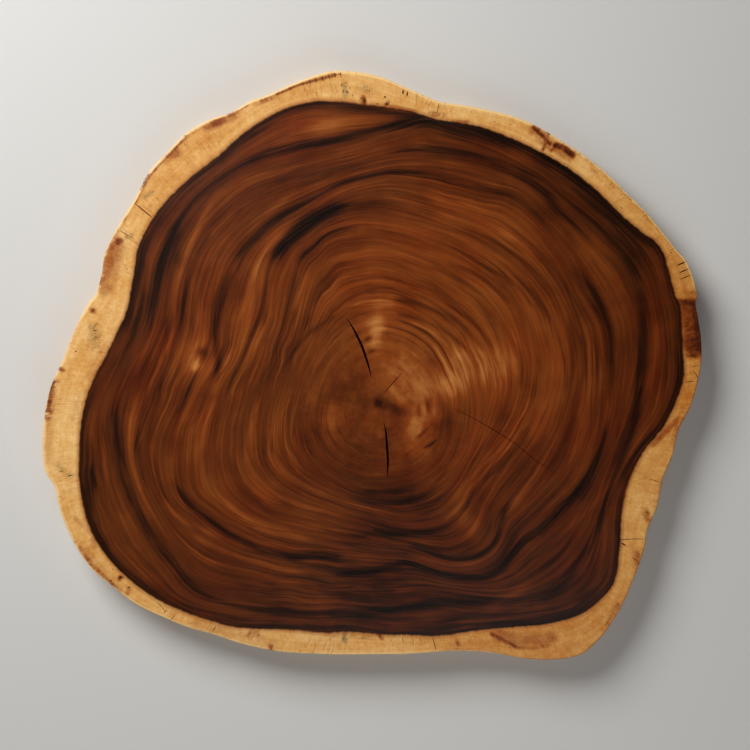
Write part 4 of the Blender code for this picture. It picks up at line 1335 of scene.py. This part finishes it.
def crack_cutter(name, stations, depth, sizes, material):
    """A wedge that follows a crack: as wide as its opening at the face and narrower at its floor."""
    spine, half = smooth_path(stations, sizes)
    along = np.gradient(spine, axis=0)
    along /= np.linalg.norm(along, axis=1)[:, None]
    across = np.column_stack([-along[:, 1], along[:, 0]])
    widen = 1 + (1 - CRACK_FLOOR_SHARE) * CUTTER_OVERRUN / depth
    made = bmesh.new()
    loops = []
    for height, share in ((THICKNESS - depth, CRACK_FLOOR_SHARE), (THICKNESS + CUTTER_OVERRUN, widen)):
        left = spine + across * (half * share)[:, None]
        right = spine - across * (half * share)[:, None]
        round_trip = np.vstack([left, right[-2:0:-1]])
        loops.append([made.verts.new((x, y, height)) for x, y in round_trip])
    count = len(loops[0])
    for corner in range(count):
        following = (corner + 1) % count
        made.faces.new((loops[0][corner], loops[0][following], loops[1][following], loops[1][corner]))
    made.faces.new(loops[1])
    made.faces.new(reversed(loops[0]))
    bmesh.ops.recalc_face_normals(made, faces=made.faces)
    mesh = bpy.data.meshes.new(name)
    made.to_mesh(mesh)
    made.free()
    mesh.materials.append(material)
    return new_object(name, mesh)


def check_points(sizes):
    """A point for each hairline check and insect hole, with its turn and size."""
    pith = pith_place(sizes)
    cuts = [
        (bearing, (inner + outer) / 2, ((outer - inner) * MM, opening * MM, sizes.hairline_depth))
        for bearing, inner, outer, opening in HAIRLINES_MM
    ] + [
        (bearing, radius, (width * MM, width * MM * HOLE_ROUNDNESS, sizes.hole_depth))
        for bearing, radius, width in HOLES_MM
    ]
    places, turns, extents = [], [], []
    for bearing, radius, extent in cuts:
        turn = math.radians(bearing)
        reach = radius * MM
        places.append((pith[0] + reach * math.cos(turn), pith[1] + reach * math.sin(turn), THICKNESS))
        turns.append(turn)
        extents.append(extent)
    mesh = bpy.data.meshes.new("check_points")
    mesh.from_pydata(places, [], [])
    mesh.attributes.new("turn", "FLOAT", "POINT").data.foreach_set("value", turns)
    mesh.attributes.new("size", "FLOAT_VECTOR", "POINT").data.foreach_set("vector", np.ravel(extents))
    return new_object("check_cutters", mesh)


def read(items, name, width=1, kind=np.float32):
    """One property of all items: a number for each, or a row of so many numbers."""
    values = np.empty(len(items) * width, kind)
    items.foreach_get(name, values)
    return values.reshape(-1, width) if width > 1 else values


def eased(share):
    """A smooth rise from 0 to 1 as the share goes from 0 to 1."""
    share = np.clip(share, 0, 1)
    return share * share * (3 - 2 * share)


def within_arc(bearing, first, last, fade):
    """1 well between two bearings, falling smoothly to 0 over the fade in degrees at each."""
    return eased(np.minimum(bearing - first, last - bearing) / fade)


def close_to(distance):
    """1 up to half a unit away, falling smoothly to 0 at one and a half."""
    return eased(1.5 - distance)


def open_curve(points, bearing):
    """A smooth curve through (bearing, radius in mm) points and its slope in metres a radian."""
    bearings = np.array([b for b, _ in points], float)
    radii = np.array([r for _, r in points], float) * MM
    slopes = np.gradient(radii, bearings)
    start = np.clip(np.searchsorted(bearings, bearing, side="right") - 1, 0, len(bearings) - 2)
    span = bearings[start + 1] - bearings[start]
    t = (bearing - bearings[start]) / span
    rise = radii[start + 1] - radii[start]
    into, out = slopes[start] * span, slopes[start + 1] * span
    radius = cubic(radii[start], radii[start + 1], into, out, t)
    slope = (into + 2 * (3 * rise - 2 * into - out) * t + 3 * (into + out - 2 * rise) * t**2) / span
    return radius, slope * 180 / math.pi


def soft_patch(bearing, radius, growth, at, reach, half_length, half_width):
    """How much each point lies in a soft patch that bends with the rings."""
    turn = (bearing - at + 180) % 360 - 180
    along = np.radians(turn) * radius / (half_length * MM)
    centre = growth_at(np.array([float(at)]), np.array([reach * MM]))[0]
    across = (growth - centre) * reach / centre / half_width
    return np.exp(-along**2 - across**2)


def painted_tone(bearing, radius, growth):
    """The heart's painted light and dark: its base, soft patches and streaks."""
    tone = BASE_TONE + OUTER_DARKENING * eased((growth - DARKENING_START) / DARKENING_SPAN)
    for strength, *place in PATCHES_MM:
        tone += strength * soft_patch(bearing, radius, growth, *place)
    for strength, inner, outer, points in STREAKS_MM:
        first, last = points[0][0], points[-1][0]
        turned = (bearing - first) % 360 + first
        held = turned < last
        path, slope = open_curve(points, turned[held])
        off = (radius[held] - path) / np.sqrt(1 + (slope / path) ** 2)
        half = np.where(off > 0, outer, inner) * MM
        fade_over = min(FADE_DEG, FADE_SHARE * (last - first))
        fade = within_arc(turned[held], first, last, fade_over)
        tone[held] += strength * fade * np.exp(-((off / half) ** 2))
    return tone


def stained(spots, stains):
    """The strongest of some stains at each point, each a soft-edged stroke through its places."""
    found = np.zeros(len(spots))
    for strength, half_width, places in stains:
        bearings, radii = np.transpose(places)
        path = level_points(radii * MM, np.radians(bearings))
        for start, end in zip(path, path[1:]):
            along = end - start
            share = np.clip((spots - start) @ along / (along @ along), 0, 1)
            off = np.linalg.norm(spots - start - share[:, None] * along, axis=1)
            amount = eased(1.3 - 0.8 * off / (half_width * MM + MARK_SOFTNESS))
            found = np.maximum(found, strength * amount)
    return found


def paint(slab, sizes):
    """Writes the growth coordinate, the painted figure with the sapwood's painted shade and rim highlight,
    and the marks onto the slab's points.
    """
    mesh = slab.data
    spots = read(mesh.vertices, "co", 3).astype(float)
    level = spots[:, :2] - pith_place(sizes)
    height = np.clip(spots[:, 2], 0, THICKNESS)
    own_bearing = np.degrees(np.arctan2(level[:, 1], level[:, 0])) % 360
    down = 1 - height / THICKNESS
    bearing = (own_bearing + FLUTE_LEAN_DEG * down) % 360
    outline = closed_curve(OUTLINE_MM, bearing)
    radius = np.hypot(*level.T) * outline / edge_radius(own_bearing, height, sizes)
    growth = growth_at(bearing, radius)
    turned = np.radians(bearing)
    heart = closed_curve(HEART_MM, bearing)
    slope = closed_curve(HEART_MM, bearing + SLOPE_STEP_DEG) - heart
    slope /= heart * math.radians(SLOPE_STEP_DEG)
    inside = (heart - radius) / np.sqrt(1 + slope**2)
    depth = outline - radius
    in_heart = eased(inside / HEART_BLEND + 0.5)
    # The sapwood's tone round the slice, partly painted shade that darkens it towards the lower right
    sap_tone_and_light = closed_curve(SAPWOOD_TONES_AND_SHADE, bearing) / MM
    # A painted highlight along the rim and down the live edge, strongest along the upper edge
    for gain, first, last, reach in RIM_HIGHLIGHTS_MM:
        within = within_arc(bearing, first, last, RIM_HIGHLIGHT_FADE_DEG)
        sap_tone_and_light += gain * within * close_to(depth / (reach * MM))
    tone = painted_tone(bearing, radius, growth) * in_heart + sap_tone_and_light * (1 - in_heart)
    calm = np.zeros_like(radius)
    for strength, *place in CALM_MM:
        calm = np.maximum(calm, strength * soft_patch(bearing, radius, growth, *place))
    places = level_points(radius, turned)
    brown = stained(places, BROWN_STAINS_MM)
    for strength, first, last, reach in RIM_MARKS_MM:
        within = within_arc(bearing, first, last, RIM_LINE_FADE_DEG)
        line = close_to(np.abs(depth - reach * MM) / RIM_LINE_WIDTH)
        brown = np.maximum(brown, strength * within * line)
    marks = np.column_stack([brown, stained(places, RED_STAINS_MM), stained(places, GREY_STAINS_MM)])
    painted = {
        "growth": np.column_stack([level_points(growth, turned), growth]),
        "figure": np.column_stack([tone, inside, calm]),
        "marks": marks * (1 - MARK_THINNING * eased(down * 2))[:, None],
    }
    for name, values in painted.items():
        if name not in mesh.attributes:
            mesh.attributes.new(name, "FLOAT_VECTOR", "POINT")
        mesh.attributes[name].data.foreach_set("vector", values.astype(np.float32).ravel())


def lay_map(slab, sizes):
    """Lays the slice out in its map: both faces flat, the live edge in strips, the walls in a corner."""
    mesh = slab.data
    mesh.uv_layers.new(name=MAP_NAME)
    side = read(mesh.polygons, "material_index", kind=np.int32)
    for parts in (mesh.vertices, mesh.edges):
        parts.foreach_set("select", np.zeros(len(parts), bool))
    mesh.polygons.foreach_set("select", side >= CRACK)
    bpy.context.view_layer.objects.active = slab
    bpy.context.tool_settings.mesh_select_mode = (False, False, True)
    bpy.ops.object.mode_set(mode="EDIT")
    bpy.ops.uv.smart_project(margin_method="FRACTION", island_margin=WALL_MARGIN)
    bpy.ops.object.mode_set(mode="OBJECT")

    mesh = slab.data
    layer = mesh.uv_layers[MAP_NAME]
    left, bottom, width, rise = WALL_MAP
    laid = read(layer.uv, "vector", 2) * (width, rise) + (left, bottom)

    corners = read(mesh.loops, "vertex_index", kind=np.int32)
    totals = read(mesh.polygons, "loop_total", kind=np.int32)
    face = np.repeat(np.arange(len(totals)), totals)
    at = read(mesh.vertices, "co", 3)[corners].astype(float)
    pith = pith_place(sizes)
    from_pith = at[:, :2] - pith
    reach = np.linalg.norm(from_pith, axis=1)
    outwards = from_pith / np.maximum(reach, MM)[:, None]
    own_side = side[face]

    # Both faces, the show face with its round-over rolled flat
    low = CAD_BOX[0].to_tuple()[:2]
    for which, (left, bottom, scale), mirror in ((TOP, FACE_MAP, 1), (UNDERSIDE, UNDERSIDE_MAP, -1)):
        held = own_side == which
        drop = np.abs(at[held, 2] - (THICKNESS if which == TOP else 0)) * UNROLLED_SHARE
        flat = (at[held, :2] + outwards[held] * drop[:, None]) * (mirror, 1) - low
        laid[held] = flat / (scale * MM) + (left, bottom)

    # The live edge, cut into strips
    table = np.arange(EDGE_COLUMNS + 1) * 360 / EDGE_COLUMNS
    rim = level_points(edge_radius(table, THICKNESS, sizes), np.radians(table))
    lengths = np.concatenate([[0], np.cumsum(np.linalg.norm(np.diff(rim, axis=0), axis=1))])
    held = own_side == EDGE
    centre = read(mesh.polygons, "center", 3)[face[held], :2] - pith
    middle = np.degrees(np.arctan2(centre[:, 1], centre[:, 0])) % 360
    bearing = np.degrees(np.arctan2(from_pith[held, 1], from_pith[held, 0]))
    turned = middle + (bearing - middle + 180) % 360 - 180
    along = np.interp(turned % 360, table, lengths) + np.floor(turned / 360) * lengths[-1]
    strip_length = lengths[-1] / EDGE_STRIPS
    strip = np.minimum(np.interp(middle, table, lengths) // strip_length, EDGE_STRIPS - 1)
    height = at[held, 2]
    is_rolled = height < sizes.underside_round_over
    rolled_under = (edge_radius(bearing, height, sizes) - reach[held]) * is_rolled
    down = THICKNESS - sizes.face_round_over - height + np.maximum(rolled_under, 0) * UNROLLED_SHARE
    left, bottom, scale = EDGE_MAP
    laid[held, 0] = left + strip * EDGE_STRIP_PIXELS + down / (scale * MM)
    laid[held, 1] = bottom + (along - strip * strip_length) / (scale * MM)
    layer.uv.foreach_set("vector", (laid / MAP_PIXELS).astype(np.float32).ravel())


def the_slab():
    slab = bpy.data.objects.get(SLAB_NAME)
    if slab is None:
        raise RuntimeError("make the slab first")
    return slab


class WOODSLICE_OT_slab(bpy.types.Operator):
    """Makes the slab with its outline, flat faces and grooved live edge."""

    bl_idname = "wood_slice.slab"
    bl_label = "Slab and live edge"

    def execute(self, context):
        settings = context.scene
        sizes = settings.slice_sizes
        materials = slice_materials(settings.slice_colours)
        slab = new_object(SLAB_NAME, slab_mesh(sizes))
        for material in materials:
            slab.data.materials.append(material)
        sides = read(slab.data.attributes["side"].data, "value", kind=np.int32)
        slab.data.polygons.foreach_set("material_index", sides)
        add_tree(slab, live_edge_tree(), {
            "Depth": sizes.groove_depth, "Width": sizes.groove_width, "Length": THICKNESS, "Side": EDGE,
            "Material": materials[EDGE],
        })
        flatten(slab)
        return {"FINISHED"}


class WOODSLICE_OT_cracks(bpy.types.Operator):
    """Cuts the open drying cracks and the fine ray checks of the heart."""

    bl_idname = "wood_slice.cracks"
    bl_label = "Drying cracks"

    def execute(self, context):
        slab = the_slab()
        sizes = context.scene.slice_sizes
        walls = slice_materials(context.scene.slice_colours)
        for cracks, depth, wall in (
            (CRACKS_MM, sizes.crack_depth, CRACK), (RAY_CHECKS_MM, sizes.ray_check_depth, CRACK),
            (SLANTED_CHECKS_MM, sizes.hairline_depth, CHECK),
        ):
            for name, stations in cracks.items():
                cut(slab, crack_cutter(name, stations, depth, sizes, walls[wall]))
        return {"FINISHED"}


class WOODSLICE_OT_checks(bpy.types.Operator):
    """Cuts the hairline checks and insect holes of the sapwood."""

    bl_idname = "wood_slice.checks"
    bl_label = "Hairline checks and holes"

    def execute(self, context):
        slab = the_slab()
        sizes = context.scene.slice_sizes
        cutters = check_points(sizes)
        add_tree(cutters, cutter_tree(), {
            "Sides": CUTTER_SIDES, "Floor share": CRACK_FLOOR_SHARE, "Overrun": CUTTER_OVERRUN_SHARE,
            "Material": slice_materials(context.scene.slice_colours)[CHECK],
        })
        flatten(cutters)
        cut(slab, cutters)
        return {"FINISHED"}


class WOODSLICE_OT_figure(bpy.types.Operator):
    """Paints the rings, streaks and stains, and seats the slice in the frame."""

    bl_idname = "wood_slice.figure"
    bl_label = "Figure and stains"

    def execute(self, context):
        slab = the_slab()
        paint(slab, context.scene.slice_sizes)
        lay_map(slab, context.scene.slice_sizes)
        slab.data.shade_smooth()
        slab.data.set_sharp_from_angle(angle=math.radians(SHARP_ANGLE_DEG))
        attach(slab, "root")
        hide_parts("wood_slice")
        return {"FINISHED"}


def aimed_light(name, size, place, energy):
    """A soft area light that points at the middle of the show face."""
    data = bpy.data.lights.new(name, "AREA")
    data.shape = "DISK"
    data.size = size
    data.energy = energy
    light = bpy.data.objects.new(name, data)
    light.location = place
    aim = Vector((0, 0, THICKNESS)) - Vector(place)
    light.rotation_euler = aim.to_track_quat("-Z", "Y").to_euler()
    bpy.context.collection.objects.link(light)


class WOODSLICE_OT_stage(bpy.types.Operator):
    """Makes the plain floor, the soft lights and the camera that looks straight down."""

    bl_idname = "wood_slice.stage"
    bl_label = "Stage"

    def execute(self, context):
        stage = context.scene.slice_stage
        pith = pith_place(context.scene.slice_sizes)
        half = FLOOR_WIDTH / 2
        mesh = bpy.data.meshes.new("floor")
        corners = [(-half, -half, 0), (half, -half, 0), (half, half, 0), (-half, half, 0)]
        mesh.from_pydata(corners, [], [(0, 1, 2, 3)])
        floor = new_object("floor", mesh)
        mesh.materials.append(floor_material(stage.floor))

        aimed_light("key_light", KEY_SIZE, KEY_PLACE, stage.key_power)
        aimed_light("fill_light", FILL_SIZE, FILL_PLACE, stage.fill_power)
        world = bpy.data.worlds.new("soft_room")
        world.use_nodes = True
        room = world.node_tree
        upwards = parts_of(room, put(room, "ShaderNodeTexCoord").outputs["Generated"])[2]
        light = smooth_step(room, upwards, 0.15, 0.9, ROOM_LIGHT, CEILING_LIGHT)
        room.links.new(light, room.nodes["Background"].inputs["Strength"])
        context.scene.world = world

        data = bpy.data.cameras.new("camera")
        data.lens = data.sensor_width * stage.camera_height / stage.picture_width
        camera = bpy.data.objects.new("camera", data)
        over = (pith[0] + stage.picture_x, pith[1] + stage.picture_y)
        camera.location = (*over, THICKNESS + stage.camera_height)
        context.collection.objects.link(camera)
        context.scene.camera = camera
        context.scene.view_settings.view_transform = "Standard"
        return {"FINISHED"}


class WOODSLICE_PT_panel(bpy.types.Panel):
    """Lists the slice's sizes and colours and the steps that make it."""

    bl_label = "Wood slice"
    bl_idname = "WOODSLICE_PT_panel"
    bl_space_type = "VIEW_3D"
    bl_region_type = "UI"
    bl_category = "Wood slice"

    def draw(self, context):
        for operator in OPERATORS:
            self.layout.operator(operator.bl_idname)
        for group in (context.scene.slice_sizes, context.scene.slice_colours, context.scene.slice_stage):
            box = self.layout.box()
            for name in group.__annotations__:
                box.prop(group, name)


OPERATORS = (
    WOODSLICE_OT_slab, WOODSLICE_OT_cracks, WOODSLICE_OT_checks, WOODSLICE_OT_figure, WOODSLICE_OT_stage,
)
CLASSES = (SliceSizes, SliceColours, StageSettings, *OPERATORS, WOODSLICE_PT_panel)


def register():
    for item in CLASSES:
        bpy.utils.register_class(item)
    bpy.types.Scene.slice_sizes = bpy.props.PointerProperty(type=SliceSizes)
    bpy.types.Scene.slice_colours = bpy.props.PointerProperty(type=SliceColours)
    bpy.types.Scene.slice_stage = bpy.props.PointerProperty(type=StageSettings)


def unregister():
    del bpy.types.Scene.slice_stage
    del bpy.types.Scene.slice_colours
    del bpy.types.Scene.slice_sizes
    for item in reversed(CLASSES):
        bpy.utils.unregister_class(item)


def main():
    register()
    bpy.ops.wood_slice.slab()
    bpy.ops.wood_slice.cracks()
    bpy.ops.wood_slice.checks()
    bpy.ops.wood_slice.figure()
    bpy.ops.wood_slice.stage()


if __name__ == "__main__":
    main()
